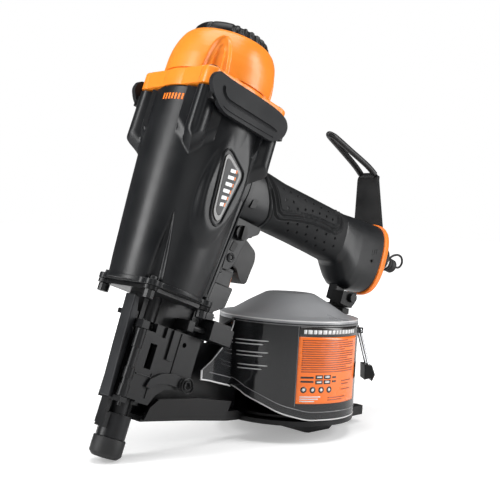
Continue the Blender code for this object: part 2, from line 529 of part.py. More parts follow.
# foot
base = join(base, prism([(124, 56.6), (138, 55.0), (166, 55.2), (171, 55.71), (194.5, 63.80), (200, 71), (205, 80.8), (150, 64.5)], -26, 26))
base = cut(base, can(cyl(1.7, -90, 8, (PIN_E, PIN_Y), n=8)), cyl(1.9, 3, 8, (24, 72), "y", n=8), can(cyl(2.6, -84, -70, n=10)))
add("magazine_base", base, BLACK)
add("base_bolt", join(cyl(1.6, 4.6, 15, (24, 72), "y", n=8), cyl(3.6, 14.3, 17.4, (24, 72), "y", n=10)), BLACKSTEEL)

# ---------------------------------------------------------------- nail platform
add("platform_post", can(lathe([(0, -83.5), (2.3, -83.5), (2.3, -79.2), (2.3, -20), (0, -20)], 12)), STEEL)
add("nail_platform", can(lathe([(2.7, -75.2), (50, -75.2), (50, -72.6), (7, -72.6), (6, -60), (2.7, -60)], 28)), BLACK)

# ---------------------------------------------------------------- magazine cover
na = arc(CAN_R, -184, -9, 26)
near = [(-102.5, -13.2), (-93, -12.6), (-86, -11.5), (-76, -9.3), (-66, -5)] + na[1:]


def top_of(p):
    return float(np.interp(p[0], [-102.5, -93, -76, -64, -57.3], [-37, -31, -18, -2.5, -0.8])) if p[0] < -57 else -0.8


def bot_of(p, k):
    if k < 5:
        return float(np.interp(p[0], [-102.5, -93, -57], [-44, -46, -55]))
    a = (math.degrees(math.atan2(p[1], p[0])) - 360) % -360
    return float(np.interp(a, [-184, -172, -154, -138, -117, -9], [-54.5, -58, -64, -70.5, -75.4, -75.4]))


top = [top_of(p) for p in near]
bot = [bot_of(p, k) for k, p in enumerate(near)]
wall = ribbon(near, 2.0, top, bot)
dome_c = lathe([(0, 19.6), (20, 19.2), (34, 11.6), (47.5, 3.2), (55.8, 1.8), (57.3, 0), (57.3, -2.0), (55.2, -2.0), (54.6, -0.2), (46.6, 1.2), (33, 9.6), (19.5, 17.2), (0, 17.6)], 36)
cover = join(wall, dome_c)
kn = join(cyl(4.0, -72, -2, (PIN_E, PIN_Y), n=12), prism([(55.4, -10.3), (PIN_E, -7.0), (PIN_E, -1.0), (56.2, -7.5)], -72, -2, "z"), prism([(54.5, -8), (PIN_E, -6.8), (PIN_E, 0.8), (54.5, 1)], -2.5, -0.4, "z"))
cover = join(cover, kn)
cover = cut(cover, cyl(1.7, -80, 6, (PIN_E, PIN_Y), n=8))
LA = math.radians(-38)
le, ly = math.cos(LA), math.sin(LA)
ear = []
for s in (-8.2, 8.2):
    c0 = Vector((le * 58.6 - ly * s, ly * 58.6 + le * s, 0))
    e = box(-4.0, 2.6, -1.3, 1.3, -10.6, -5.8)
    m = Matrix.Translation(c0) @ Matrix.Rotation(LA, 4, "Z")
    e = moved(e, m)
    cover = join(cover, e)
bar = moved(cyl(1.5, -12, 12, (0.6, -8.2), "y", n=8), Matrix.Translation(Vector((le * 58.6, ly * 58.6, 0))) @ Matrix.Rotation(LA, 4, "Z"))
cover = cut(cover, bar)
add("magazine_cover", can(cover), SMOKE, CAN_M @ Vector((PIN_E, PIN_Y, -37)))
add("cover_hinge_pin", can(cyl(1.4, -80.5, 5.6, (PIN_E, PIN_Y), n=8)), STEEL)

LM = Matrix.Translation(Vector((le * 58.6, ly * 58.6, 0))) @ Matrix.Rotation(LA, 4, "Z")
bail = moved(tube_path([(9.8, -5.3, -38.2), (0.6, -5.3, -8.2), (0.6, 5.3, -8.2), (9.8, 5.3, -38.2)], 1.2, 6), LM)
pinb = moved(cyl(1.2, -10.4, 10.4, (0.6, -8.2), "y", n=8), LM)
bail = join(bail, pinb)
add("cover_latch_bail", can(bail), STEEL, CAN_M @ (LM @ Vector((0.6, 0, -8.2))))
grip = moved(prism([(5.6, -36.4), (12.0, -37.0), (14.8, -44.5), (12.6, -50), (11.0, -47.5), (6.2, -49)], -8.5, 8.5), LM)
gcut = moved(tube_path([(10.7, -5.3, -41.0), (7.4, -5.3, -31.0)], 1.5, 8), LM)
gcut2 = moved(tube_path([(10.7, 5.3, -41.0), (7.4, 5.3, -31.0)], 1.5, 8), LM)
grip = cut(grip, gcut, gcut2)
add("cover_latch_grip", can(grip), RUBBER, CAN_M @ (LM @ Vector((0.6, 0, -8.2))))

# ---------------------------------------------------------------- bracket from magazine to handle
blk = prism([(177.5, 167), (192, 166.5), (195.5, 172), (194.8, 181.2), (187, 180.0), (180.5, 178.4), (177.8, 178)], -17.5, -5)
foot = can(box(58.9, 69, -9, 12.6, 6.3, 9.5))
rib = prism([(190.4, 166.5), (195.4, 172), (203.5, 173.6), (203.2, 170.6), (196.8, 168.4), (194, 167.2)], -9, 9)
br = join(blk, foot, rib)
br = cut(br, cyl(2.4, -19, -3, (189.0, 175.0), "y", n=8))
add("magazine_bracket", br, BLACK)
add("bracket_bolt", join(cyl(2.1, -17.9, 4.4, (189.0, 175.0), "y", n=8), cyl(4.2, -20.8, -17.8, (189.0, 175.0), "y", n=10)), BLACKSTEEL)

# ---------------------------------------------------------------- badges
BD = [(-7.2, 221.5), (-5.4, 223.6), (-2.6, 222.8), (9.4, 215.6), (10.2, 213), (3.4, 179), (1.2, 177), (-2.4, 179.6), (-4.2, 182.6)]
for sy, nm in ((-1, "left"), (1, "right")):
    add("badge_" + nm, prism(BD, 42.1 * sy, 43.3 * sy), STEEL)

# ---------------------------------------------------------------- stance
t = math.radians(STANCE_DEG)
rot = Matrix.Rotation(t, 4, "Y")
lo = Vector((1e9, 1e9, 1e9))
hi = -lo
for ob in bpy.data.objects:
    if ob.type == "MESH":
        for v in ob.data.vertices:
            p = rot @ (v.co + ob.location)
            for k in range(3):
                lo[k] = min(lo[k], p[k])
                hi[k] = max(hi[k], p[k])
ROOT.rotation_euler = (0, t, 0)
ROOT.location = (-(lo.x + hi.x) / 2, -(lo.y + hi.y) / 2, -lo.z)
print("STANCE", [round(c, 6) for c in ROOT.location], "size", [round(hi[k] - lo[k], 5) for k in range(3)])
tot = 0
for ob in bpy.data.objects:
    if ob.type == "MESH":
        n = sum(len(p.vertices) - 2 for p in ob.data.polygons)
        tot += n
        print("TRIS", ob.name, n)
print("TOTAL", tot)
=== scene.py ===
import bpy
import bmesh
import math
import numpy as np
from mathutils import Matrix, Vector


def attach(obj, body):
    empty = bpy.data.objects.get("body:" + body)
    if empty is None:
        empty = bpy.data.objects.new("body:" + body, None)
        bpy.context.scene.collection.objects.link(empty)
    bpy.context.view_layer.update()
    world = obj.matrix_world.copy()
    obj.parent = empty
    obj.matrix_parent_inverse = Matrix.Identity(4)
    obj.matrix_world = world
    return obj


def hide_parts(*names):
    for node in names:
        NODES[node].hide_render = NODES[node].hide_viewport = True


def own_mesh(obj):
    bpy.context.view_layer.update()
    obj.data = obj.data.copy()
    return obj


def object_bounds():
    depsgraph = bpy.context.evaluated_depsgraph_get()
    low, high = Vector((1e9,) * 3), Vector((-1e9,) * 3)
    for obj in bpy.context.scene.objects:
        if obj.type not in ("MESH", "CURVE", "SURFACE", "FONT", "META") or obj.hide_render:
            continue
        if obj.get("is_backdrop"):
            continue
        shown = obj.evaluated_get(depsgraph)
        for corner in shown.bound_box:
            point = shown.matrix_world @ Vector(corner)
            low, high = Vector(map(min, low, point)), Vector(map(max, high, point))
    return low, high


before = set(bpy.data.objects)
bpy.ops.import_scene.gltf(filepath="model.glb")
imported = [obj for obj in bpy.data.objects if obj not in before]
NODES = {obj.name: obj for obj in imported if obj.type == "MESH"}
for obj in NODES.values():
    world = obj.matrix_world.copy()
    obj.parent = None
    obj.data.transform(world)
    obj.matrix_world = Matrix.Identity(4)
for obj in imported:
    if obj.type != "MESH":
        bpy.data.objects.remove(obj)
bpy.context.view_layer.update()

U = 0.00094
LEAN = math.radians(19.0)
ROW = Matrix.Translation((-0.147156, 0.0, 0.002819)) @ Matrix.Rotation(LEAN, 4, "Y") @ Matrix.Scale(U, 4)
ROWN = np.array(ROW)
ca, sa = math.cos(math.radians(17.23)), math.sin(math.radians(17.23))
CAN_M = np.array(((ca, 0, -sa, 139.43), (0, 1, 0, 0), (sa, 0, ca, 142.92), (0, 0, 0, 1)))
CAN_R = 57.3
SX = 33.0
scene = bpy.context.scene
scene.view_settings.view_transform = "Standard"


# ------------------------------------------------------------------ materials
def look(name, color, rough, metal=0.0, grain=900.0, bump=0.25, vary=0.12, rvary=0.08, coat=0.0, spec=0.5, trans=0.0, ior=1.45, alpha=1.0, streak=None, fine=0.00006):
    m = bpy.data.materials.new(name)
    m.use_nodes = True
    nt = m.node_tree
    b = nt.nodes["Principled BSDF"]
    b.inputs["Metallic"].default_value = metal
    b.inputs["Specular IOR Level"].default_value = spec
    b.inputs["Coat Weight"].default_value = coat
    b.inputs["Coat Roughness"].default_value = 0.2
    b.inputs["Transmission Weight"].default_value = trans
    b.inputs["IOR"].default_value = ior
    b.inputs["Alpha"].default_value = alpha
    tc = nt.nodes.new("ShaderNodeTexCoord")
    mp = nt.nodes.new("ShaderNodeMapping")
    if streak:
        mp.inputs["Scale"].default_value = streak
    nt.links.new(tc.outputs["Object"], mp.inputs["Vector"])
    n1 = nt.nodes.new("ShaderNodeTexNoise")
    n1.inputs["Scale"].default_value = grain
    n1.inputs["Detail"].default_value = 3.0
    n2 = nt.nodes.new("ShaderNodeTexNoise")
    n2.inputs["Scale"].default_value = 38.0
    n2.inputs["Detail"].default_value = 5.0
    nt.links.new(mp.outputs["Vector"], n1.inputs["Vector"])
    nt.links.new(tc.outputs["Object"], n2.inputs["Vector"])
    bp = nt.nodes.new("ShaderNodeBump")
    bp.inputs["Strength"].default_value = bump
    bp.inputs["Distance"].default_value = fine
    nt.links.new(n1.outputs["Fac"], bp.inputs["Height"])
    nt.links.new(bp.outputs["Normal"], b.inputs["Normal"])
    rr = nt.nodes.new("ShaderNodeMapRange")
    rr.inputs["From Min"].default_value = 0.3
    rr.inputs["From Max"].default_value = 0.7
    rr.inputs["To Min"].default_value = max(0.02, rough - rvary)
    rr.inputs["To Max"].default_value = min(1.0, rough + rvary)
    nt.links.new(n2.outputs["Fac"], rr.inputs["Value"])
    nt.links.new(rr.outputs["Result"], b.inputs["Roughness"])
    cr = nt.nodes.new("ShaderNodeValToRGB")
    cr.color_ramp.elements[0].position = 0.3
    cr.color_ramp.elements[1].position = 0.7
    cr.color_ramp.elements[0].color = (*[c * (1 - vary) for c in color], 1)
    cr.color_ramp.elements[1].color = (*[min(1, c * (1 + vary)) for c in color], 1)
    nt.links.new(n2.outputs["Fac"], cr.inputs["Fac"])
    nt.links.new(cr.outputs["Color"], b.inputs["Base Color"])
    return m


COAT = look("coat_charcoal", (0.0065, 0.0071, 0.0082), 0.36, grain=1500, bump=0.35, coat=0.08, spec=0.33)
ORANGE = look("coat_orange", (0.90, 0.25, 0.018), 0.36, grain=1400, bump=0.2, vary=0.03, coat=0.15)
ORANGE_P = look("plastic_orange", (0.90, 0.20, 0.01), 0.40, grain=1800, bump=0.2, vary=0.03)
BLACKP = look("plastic_black", (0.0045, 0.0045, 0.005), 0.36, grain=1600, bump=0.4, spec=0.32)
RUBBER = look("rubber_grip", (0.0085, 0.009, 0.0098), 0.56, grain=2200, bump=0.7, vary=0.1, spec=0.22)
BUMPER = look("rubber_bumper", (0.013, 0.0135, 0.015), 0.52, grain=2000, bump=0.6, vary=0.08, spec=0.2)
TIPR = look("rubber_tip", (0.007, 0.007, 0.0075), 0.55, grain=1800, bump=0.6)
OXIDE = look("steel_black", (0.0075, 0.0077, 0.0085), 0.33, metal=0.15, grain=1100, bump=0.35, spec=0.4)
HOOKM = look("steel_hook", (0.0065, 0.0066, 0.007), 0.38, metal=0.1, grain=1300, bump=0.3)
GUARD = look("steel_guard", (0.016, 0.017, 0.019), 0.42, metal=0.3, grain=1200, bump=0.4)
STEEL = look("steel_bright", (0.52, 0.53, 0.55), 0.26, metal=1.0, grain=700, bump=0.2)
NICKEL = look("nickel", (0.88, 0.87, 0.85), 0.30, metal=1.0, grain=500, bump=0.1, vary=0.05)
CHROME = look("chrome_wire", (0.80, 0.81, 0.83), 0.10, metal=1.0, grain=500, bump=0.05, vary=0.03)
ALU = look("alu_turned", (0.68, 0.68, 0.70), 0.3, metal=1.0, streak=(1, 1, 30), grain=300, bump=0.2)
SMOKE = look("smoke_clear", (0.05, 0.052, 0.056), 0.10, grain=300, bump=0.05, vary=0.05, trans=0.72, ior=1.46, rvary=0.03)
# painted light: the dome is the same smoky plastic as the cover wall, given a lighter opaque grey for the light that
# falls on its top
DOME_PAINTED_LIGHT = look("dome_smoke_painted_light", (0.275, 0.279, 0.289), 0.32, grain=1500, bump=0.2, vary=0.08, spec=0.6, coat=0.25)
# painted highlights: light grey and a dimmer grey for the tubes along the clear cover's edges, rims, lip, ribs and
# seam, standing in for light on the smoky plastic
PAINTED_HIGHLIGHT = look("clear_edge", (0.62, 0.62, 0.62), 0.22, grain=700, bump=0.1, vary=0.08, coat=0.3)
PAINTED_HIGHLIGHT_DIM = look("clear_edge_dim", (0.20, 0.20, 0.205), 0.22, grain=700, bump=0.1, vary=0.08, coat=0.3)
FILM_O = look("film_orange", (0.90, 0.17, 0.008), 0.3, grain=900, bump=0.05, vary=0.02, coat=0.5)
FILM_K = look("film_black", (0.012, 0.010, 0.009), 0.25, grain=900, bump=0.05, coat=0.5)
FILM_W = look("film_white", (0.72, 0.72, 0.72), 0.3, grain=900, bump=0.05, coat=0.4)
FILM_D = look("film_dark_print", (0.30, 0.045, 0.004), 0.35, grain=900, bump=0.05, coat=0.4)
FILM_S = look("film_silver", (0.42, 0.43, 0.45), 0.28, metal=0.6, grain=900, bump=0.05)


# ------------------------------------------------------------------ mesh helpers
def to_row(P, in_can=False):
    P = np.asarray(P, float)
    H = np.c_[P, np.ones(len(P))]
    if in_can:
        H = H @ CAN_M.T
    return (H @ ROWN.T)[:, :3]


def piece(name, P, F, mat, body, in_can=False, smooth=True, bevel=0.0, seg=2, slot=None, angle=35, recalc=True):
    me = bpy.data.meshes.new(name)
    me.from_pydata([tuple(p) for p in to_row(P, in_can)], [], [tuple(int(i) for i in f) for f in F])
    if recalc:
        bm = bmesh.new()
        bm.from_mesh(me)
        bmesh.ops.remove_doubles(bm, verts=bm.verts, dist=1e-7)
        bmesh.ops.recalc_face_normals(bm, faces=bm.faces)
        bm.to_mesh(me)
        bm.free()
    me.materials.append(mat)
    if smooth:
        me.polygons.foreach_set("use_smooth", [True] * len(me.polygons))
        if not bevel:
            me.set_sharp_from_angle(angle=math.radians(angle))
    o = bpy.data.objects.new(name, me)
    scene.collection.objects.link(o)
    if bevel:
        b = o.modifiers.new("edge", "BEVEL")
        b.width = bevel * U
        b.segments = seg
        b.limit_method = "ANGLE"
        b.angle_limit = math.radians(32)
        b.use_clamp_overlap = True
        o.modifiers.new("wn", "WEIGHTED_NORMAL").keep_sharp = False
    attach(o, body)
    return o


def grid(fn, us, vs, wrap_u=False, ends=True):
    # fn(u array, v scalar) -> (n, 3); rows over v
    rows = [np.asarray(fn(us, v), float) for v in vs]
    n, k = len(us), len(vs)
    P = np.concatenate(rows)
    F = []
    for i in range(k - 1):
        for j in range(n if wrap_u else n - 1):
            a, b = i * n + j, i * n + (j + 1) % n
            F.append((a, b, b + n, a + n))
    if ends and wrap_u:
        F.append(tuple(reversed(range(n))))
        F.append(tuple(range((k - 1) * n, k * n)))
    return P, F


def prism(poly, lo, hi, axis="y"):
    def at(p, t):
        return {"y": (p[0], t, p[1]), "z": (p[0], p[1], t), "x": (t, p[0], p[1])}[axis]
    n = len(poly)
    P = [at(p, lo) for p in poly] + [at(p, hi) for p in poly]
    F = [tuple(reversed(range(n))), tuple(range(n, 2 * n))] + [(i, (i + 1) % n, n + (i + 1) % n, n + i) for i in range(n)]
    return np.array(P, float), F


def boxp(x0, x1, y0, y1, z0, z1):
    return prism([(x0, z0), (x1, z0), (x1, z1), (x0, z1)], y0, y1)


def circ(r, n, c=(0, 0), a0=0.0):
    return [(c[0] + r * math.cos(a0 + 2 * math.pi * i / n), c[1] + r * math.sin(a0 + 2 * math.pi * i / n)) for i in range(n)]


def rnd(poly, r, k=4):
    # rounds the corners of a polygon
    out = []
    n = len(poly)
    for i in range(n):
        p, a, b = np.array(poly[i], float), np.array(poly[i - 1], float), np.array(poly[(i + 1) % n], float)
        da, db = a - p, b - p
        la, lb = np.linalg.norm(da), np.linalg.norm(db)
        d = min(r, la * 0.45, lb * 0.45)
        A, B = p + da / la * d, p + db / lb * d
        for j in range(k + 1):
            t = j / k
            out.append(tuple((1 - t) ** 2 * A + 2 * t * (1 - t) * p + t * t * B))
    return out


def lathe(prof, n=96, centre=(0, 0), mod=None, axis="z"):
    # closed loop of (r, z)
    th = np.linspace(0, 2 * math.pi, n, endpoint=False)
    P, idx = [], []
    for r, z in prof:
        s = len(P)
        if r < 1e-6:
            P.append((0, 0, z))
            idx.append([s] * n)
        else:
            rr = r * np.ones(n) if mod is None else mod(th, r, z)
            P.extend([(rr[j] * math.cos(th[j]), rr[j] * math.sin(th[j]), z) for j in range(n)])
            idx.append(list(range(s, s + n)))
    F = []
    for i in range(len(prof)):
        a, b = idx[i], idx[(i + 1) % len(prof)]
        for j in range(n):
            q = [a[j], a[(j + 1) % n], b[(j + 1) % n], b[j]]
            q = [v for k, v in enumerate(q) if v != q[k - 1]]
            if len(set(q)) >= 3:
                F.append(tuple(q))
    P = np.array(P, float)
    if axis == "x":
        P = P[:, [2, 0, 1]] + np.array([0, centre[0], centre[1]])
    elif axis == "y":
        P = P[:, [0, 2, 1]] + np.array([centre[0], 0, centre[1]])
    else:
        P = P + np.array([centre[0], centre[1], 0])
    return P, F


def tube(path, r, k=10, closed=False, taper=False):
    P = [np.array(p, float) for p in path]
    n = len(P)
    T = []
    for i in range(n):
        a, b = (P[i - 1], P[(i + 1) % n]) if closed else (P[max(i - 1, 0)], P[min(i + 1, n - 1)])
        T.append((b - a) / np.linalg.norm(b - a))
    up = np.array([0, 1.0, 0]) if abs(T[0][1]) < 0.9 else np.array([0, 0, 1.0])
    u = up - up.dot(T[0]) * T[0]
    u /= np.linalg.norm(u)
    out = []
    for i, p in enumerate(P):
        u = u - u.dot(T[i]) * T[i]
        u /= np.linalg.norm(u)
        v = np.cross(T[i], u)
        rr = r
        if taper and not closed:
            rr = r * (0.25 if i in (0, n - 1) else 0.75 if i in (1, n - 2) else 1.0)
        for j in range(k):
            a = 2 * math.pi * j / k
            out.append(p + rr * (math.cos(a) * u + math.sin(a) * v))
    F = []
    for i in range(n if closed else n - 1):
        for j in range(k):
            a, b = i * k + j, i * k + (j + 1) % k
            c, d = ((i + 1) % n) * k + (j + 1) % k, ((i + 1) % n) * k + j
            F.append((a, b, c, d))
    if not closed:
        F.append(tuple(reversed(range(k))))
        F.append(tuple(range((n - 1) * k, n * k)))
    return np.array(out), F


def smooth_path(pts, per=10):
    P = [np.array(p, float) for p in pts]
    out = []
    for i in range(len(P) - 1):
        p0, p1, p2, p3 = P[max(i - 1, 0)], P[i], P[i + 1], P[min(i + 2, len(P) - 1)]
        for j in range(per):
            t = j / per
            out.append(0.5 * ((2 * p1) + (-p0 + p2) * t + (2 * p0 - 5 * p1 + 4 * p2 - p3) * t * t + (-p0 + 3 * p1 - 3 * p2 + p3) * t ** 3))
    out.append(P[-1])
    return out


def helix(r, z0, z1, turns, wire, n=28, k=8):
    s = int(turns * n)
    return tube([(r * math.cos(2 * math.pi * i / n), r * math.sin(2 * math.pi * i / n), z0 + wire + (z1 - z0 - 2 * wire) * i / s) for i in range(s + 1)], wire, k)


def cutwith(o, P, F):
    me = bpy.data.meshes.new("tool")
    me.from_pydata([tuple(p) for p in to_row(P)], [], [tuple(f) for f in F])
    bm = bmesh.new()
    bm.from_mesh(me)
    bmesh.ops.recalc_face_normals(bm, faces=bm.faces)
    bm.to_mesh(me)
    bm.free()
    t = bpy.data.objects.new("tool", me)
    scene.collection.objects.link(t)
    t.hide_render = True
    md = bpy.data.objects[o.name].modifiers.new("cut", "BOOLEAN")
    md.operation = "DIFFERENCE"
    md.solver = "EXACT"
    md.object = t
    # the cut comes before bevels
    names = [m.name for m in o.modifiers]
    if "edge" in names:
        o.modifiers.move(len(names) - 1, names.index("edge"))
    keep = [m for m in o.modifiers if m != md]
    shown = [(m, m.show_viewport) for m in keep]
    for m in keep:
        m.show_viewport = False
    dg = bpy.context.evaluated_depsgraph_get()
    new = bpy.data.meshes.new_from_object(o.evaluated_get(dg))
    o.modifiers.remove(md)
    for m, s in shown:
        m.show_viewport = s
    bm = bmesh.new()
    bm.from_mesh(new)
    bmesh.ops.remove_doubles(bm, verts=bm.verts, dist=2e-7)
    bmesh.ops.dissolve_degenerate(bm, edges=bm.edges, dist=1e-7)
    bm.to_mesh(new)
    bm.free()
    o.data = new
    bpy.data.objects.remove(t, do_unlink=True)
    if not any(m.name == "edge" for m in o.modifiers):
        new.set_sharp_from_angle(angle=math.radians(35))


def merge(*parts):
    P, F, s = [], [], 0
    for p, f in parts:
        P.append(np.asarray(p, float))
        F.extend([tuple(int(i) + s for i in g) for g in f])
        s += len(p)
    return np.concatenate(P), F


def sstep(t):
    t = np.clip(t, 0, 1)
    return t * t * (3 - 2 * t)


def finer(z, k):
    # denser samples between the given ones
    out = []
    for a, b in zip(z[:-1], z[1:]):
        out.extend(list(np.linspace(a, b, k, endpoint=False)))
    return out + [z[-1]]


# ------------------------------------------------------------------ CAD pieces that stay
def dress(node, mat, bevel=0.5, seg=2, angle=30):
    o = NODES[node]
    o.data.materials.clear()
    o.data.materials.append(mat)
    if "custom_normal" in o.data.attributes:
        o.data.attributes.remove(o.data.attributes["custom_normal"])
    o.data.polygons.foreach_set("use_smooth", [True] * len(o.data.polygons))
    w = o.modifiers.new("weld", "WELD")
    w.merge_threshold = 2e-6
    d = o.modifiers.new("flat", "DECIMATE")
    d.decimate_type = "DISSOLVE"
    d.angle_limit = math.radians(1.0)
    if bevel:
        b = o.modifiers.new("edge", "BEVEL")
        b.width = bevel * U
        b.segments = seg
        b.limit_method = "ANGLE"
        b.angle_limit = math.radians(angle)
        b.use_clamp_overlap = True
    o.modifiers.new("wn", "WEIGHTED_NORMAL").keep_sharp = False


for nodes, mat, bev in (
        (("nose_piece", "contact_arm", "feed_housing", "feed_piston", "feed_plug", "nose_door", "door_latch", "trigger_pin"), OXIDE, 0.45),
        (("nose_bolt_1", "nose_bolt_2", "nose_bolt_3", "nose_bolt_4", "base_bolt", "bracket_bolt", "cap_screw_1", "cap_screw_2", "cap_screw_3", "cap_screw_4", "end_cap_screw_1", "end_cap_screw_2", "exhaust_bolt"), OXIDE, 0.4),
        (("nose_guard",), GUARD, 0.8), (("magazine_base", "magazine_bracket", "nail_platform", "mode_selector", "trigger_valve_body", "head_valve"), BLACKP, 0.5),
        (("cap_gasket", "piston_bumper"), RUBBER, 0.0),
        (("cover_latch_grip",), BLACKP, 0.7), (("cover_latch_bail",), CHROME, 0.0), (("air_plug",), NICKEL, 0.25),
        (("door_pin",), OXIDE, 0.2),
        (("cover_hinge_pin", "platform_post", "trigger_lever", "trigger_valve_stem", "driver_blade"), STEEL, 0.2),
        (("cylinder_sleeve", "driver_piston"), ALU, 0.4)):
    for n in nodes:
        dress(n, mat, bev)


# ------------------------------------------------------------------ belt hook: a ring, a bent strip and a rounded triangular loop
hk_ring = lathe([(7.25, 227.7), (12.9, 227.7), (13.2, 228.1), (13.2, 231.1), (12.9, 231.5), (7.25, 231.5)], 64, (0, 223), axis="x")
hk_strip = prism(rnd([(3.4, 231.5), (12.6, 226.0), (35.9, 256), (46.3, 300), (44.6, 304.6), (23.2, 304.6), (22.3, 300), (2.9, 252)], 1.6, 4), 227.8, 231.4, "x")
hk_bend = tube([(228.6, 25.6, 303.4), (228.6, 34, 303.6), (228.6, 42.6, 303.4)], 2.75, 14)
hk_path = [(226.6, 25.9, 304.4), (214, 26.9, 308.2), (190, 29.4, 312.6), (170, 31.2, 316.2), (164.6, 32.4, 316.9), (162.4, 34.2, 317.1), (164.6, 36.0, 316.9), (170, 37.2, 316.2), (190, 39.0, 312.6), (214, 41.6, 308.2), (226.6, 42.6, 304.4)]
hk_loop = merge(tube(smooth_path(hk_path, 6), 2.8, 14), tube([(163.6, 34.2, 316.9), (176, 34.2, 315.0), (186, 34.2, 313.4)], 2.3, 14, taper=True))
hook = piece("belt_hook_bar", *merge(hk_ring, hk_strip, hk_bend, hk_loop), HOOKM, "belt_hook", slot="belt_hook", bevel=0.5)
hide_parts("belt_hook")

# ------------------------------------------------------------------ body
def barrel_r(th, z):
    r0 = np.interp(z, [119, 140, 155, 185, 215, 240, 262], [35.2, 36.9, 37.8, 39.7, 41.4, 42.2, 42.4]) * np.ones_like(th)
    phd = (np.degrees(th) % 90) - 45
    ph = np.abs(phd)
    d = SX * math.sqrt(2)
    s = d * np.sin(np.radians(ph))
    lobe = np.where(np.abs(s) < 7.4, d * np.cos(np.radians(ph)) + np.sqrt(np.maximum(7.4 ** 2 - s * s, 0)), 0)
    web = 44.9 / np.cos(np.radians(np.clip(ph - 9, 0, 20))) * (ph < 19)
    lobe = np.maximum(lobe, np.where(ph < 19, web, 0))
    z0 = 213 + ph * 0.75
    w = sstep((z - z0) / 13.0)
    r = r0 + w * np.maximum(0, lobe - r0)
    # shallow groove down the middle of each corner column
    g = np.exp(-(phd / 1.6) ** 2) * sstep((z - 226) / 8)
    r = r - 0.5 * g
    # pointed flutes over the four nose bolts
    for a in (132.6, -132.6, 47.4, -47.4):
        dd = np.abs((np.degrees(th) - a + 180) % 360 - 180)
        half = np.interp(z, [119, 128, 150, 168, 174], [11.5, 10.5, 6.0, 1.8, 0.0])
        t = np.clip(1 - dd / max(half, 1e-3), 0, 1)
        r = r - (3.4 if half > 0 else 0) * np.interp(z, [119, 150, 174], [1.0, 0.75, 0.1]) * sstep(t * 1.6)
    # raised oval pads under the side badges
    y = r * np.sin(th)
    x = r * np.cos(th)
    zz = (z - 204) / 50.0
    e = np.sqrt(((x - 1.5 - 4.5 * zz) / 20.0) ** 2 + zz ** 2)
    wp = sstep((1.0 - e) / 0.34)
    tgt = 41.8 / np.maximum(np.abs(np.sin(th)), 0.5)
    r = np.where(np.abs(np.sin(th)) > 0.6, r + wp * np.maximum(0, tgt - r), r)
    return r


TH = np.linspace(0, 2 * math.pi, 448, endpoint=False)
P, F = grid(lambda t, z: np.c_[barrel_r(t, z) * np.cos(t), barrel_r(t, z) * np.sin(t), np.full(len(t), z)], TH, np.linspace(121, 262, 150), wrap_u=True)
barrel = piece("body_barrel", P, F, COAT, "tool_body", slot="body_housing", angle=50)
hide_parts("body_housing")


def section(x, zt, zb, hw, t, p=2.7):
    zc, hh = (zt + zb) / 2, (zt - zb) / 2
    c, s = np.cos(t), np.sin(t)
    return np.c_[np.full(len(t), x), hw * np.sign(c) * np.abs(c) ** (2 / p), zc + hh * np.sign(s) * np.abs(s) ** (2 / p)]


def sec_at(keys, x):
    k = np.array(keys, float)
    return [float(np.interp(x, k[:, 0], k[:, i])) for i in (1, 2, 3)]


TS = np.linspace(0, 2 * math.pi, 200, endpoint=False)
neck_keys = [(30, 244, 190, 17), (60, 240, 194, 17.6), (90, 238.8, 198.6, 17.2)]
P, F = grid(lambda t, x: section(x, *sec_at(neck_keys, x), t), TS, np.linspace(30, 90, 30), wrap_u=True)
piece("body_neck", P, F, COAT, "tool_body", slot="body_housing", angle=60)
tail_keys = [(160.5, 241.2, 199.0, 17.0), (163.2, 241.9, 198.2, 17.6), (166, 242.4, 197.4, 17.8), (169, 242.8, 196.0, 18), (174, 243.6, 190.5, 18.4), (179, 244.3, 185.5, 18.7), (184, 245, 182.4, 19), (192, 246, 181.9, 19.1), (200, 246.8, 183.2, 19.2), (212.6, 248.2, 185.6, 19.2)]
P, F = grid(lambda t, x: section(x, *sec_at(tail_keys, x), t), TS, np.linspace(160.5, 212.6, 56), wrap_u=True)
piece("body_tail", P, F, COAT, "tool_body", slot="body_housing", angle=60)
flange = rnd([(31.2, -22), (31.2, 22), (22, 31.2), (-22, 31.2), (-31.2, 22), (-31.2, -22), (-22, -31.2), (22, -31.2)], 3)
parts = [prism(flange, 119.8, 124.0, "z")]
for sx in (-1, 1):
    for sy in (-1, 1):
        parts.append(prism(circ(5.6, 28, (sx * 24.8, sy * 27)), 119.8, 124.0, "z"))
        parts.append(prism(circ(2.6, 6, (sx * 24.8, sy * 27)), 123.0, 126.6, "z"))
parts.append(prism(circ(36.4, 96), 120.4, 123.4, "z"))
P, F = merge(*parts)
piece("body_flange", P, F, COAT, "tool_body", slot="body_housing", bevel=0.5)
cheek = rnd([(33, 195), (71, 195), (70.5, 189.5), (60.5, 183), (57, 172), (54.5, 160), (50, 153.5), (33, 153.5)], 2.0)
wheelh = rnd([(33, 118.5), (46, 118.5), (59.5, 127), (62, 142.9), (33, 142.9)], 1.6)
web = [prism(cheek, -13, -8.3), prism(cheek, 8.3, 13), boxp(32, 44.6, -13, 13, 150, 196), boxp(33, 49.5, -11, 11, 141, 154),
       prism([(33, 152.5), (61, 152.5), (59.5, 157.0), (33, 157.0)], -8.6, 8.6), boxp(182, 193, -4.6, 4.6, 171, 190)]
P, F = merge(*web)
piece("body_trigger_web", P, F, COAT, "tool_body", slot="body_housing", bevel=0.7)
fill = [boxp(40, 51.4, -11, -8.6, 110.5, 119.5), boxp(40, 51.4, 8.6, 11, 110.5, 119.5), boxp(45, 76, 19.7, 21.4, 99, 121),
        boxp(36, 50, 4.5, 7, 99, 119), boxp(48.6, 57.6, -11, -8.9, 141.5, 153.6), boxp(48.6, 57.6, 8.9, 11, 141.5, 153.6)]
piece("body_lower_plates", *merge(*fill), COAT, "tool_body", slot="body_housing", bevel=0.4)
wh = piece("body_wheel_house", *prism(wheelh, -11, 11), COAT, "tool_body", slot="body_housing", bevel=0.8)
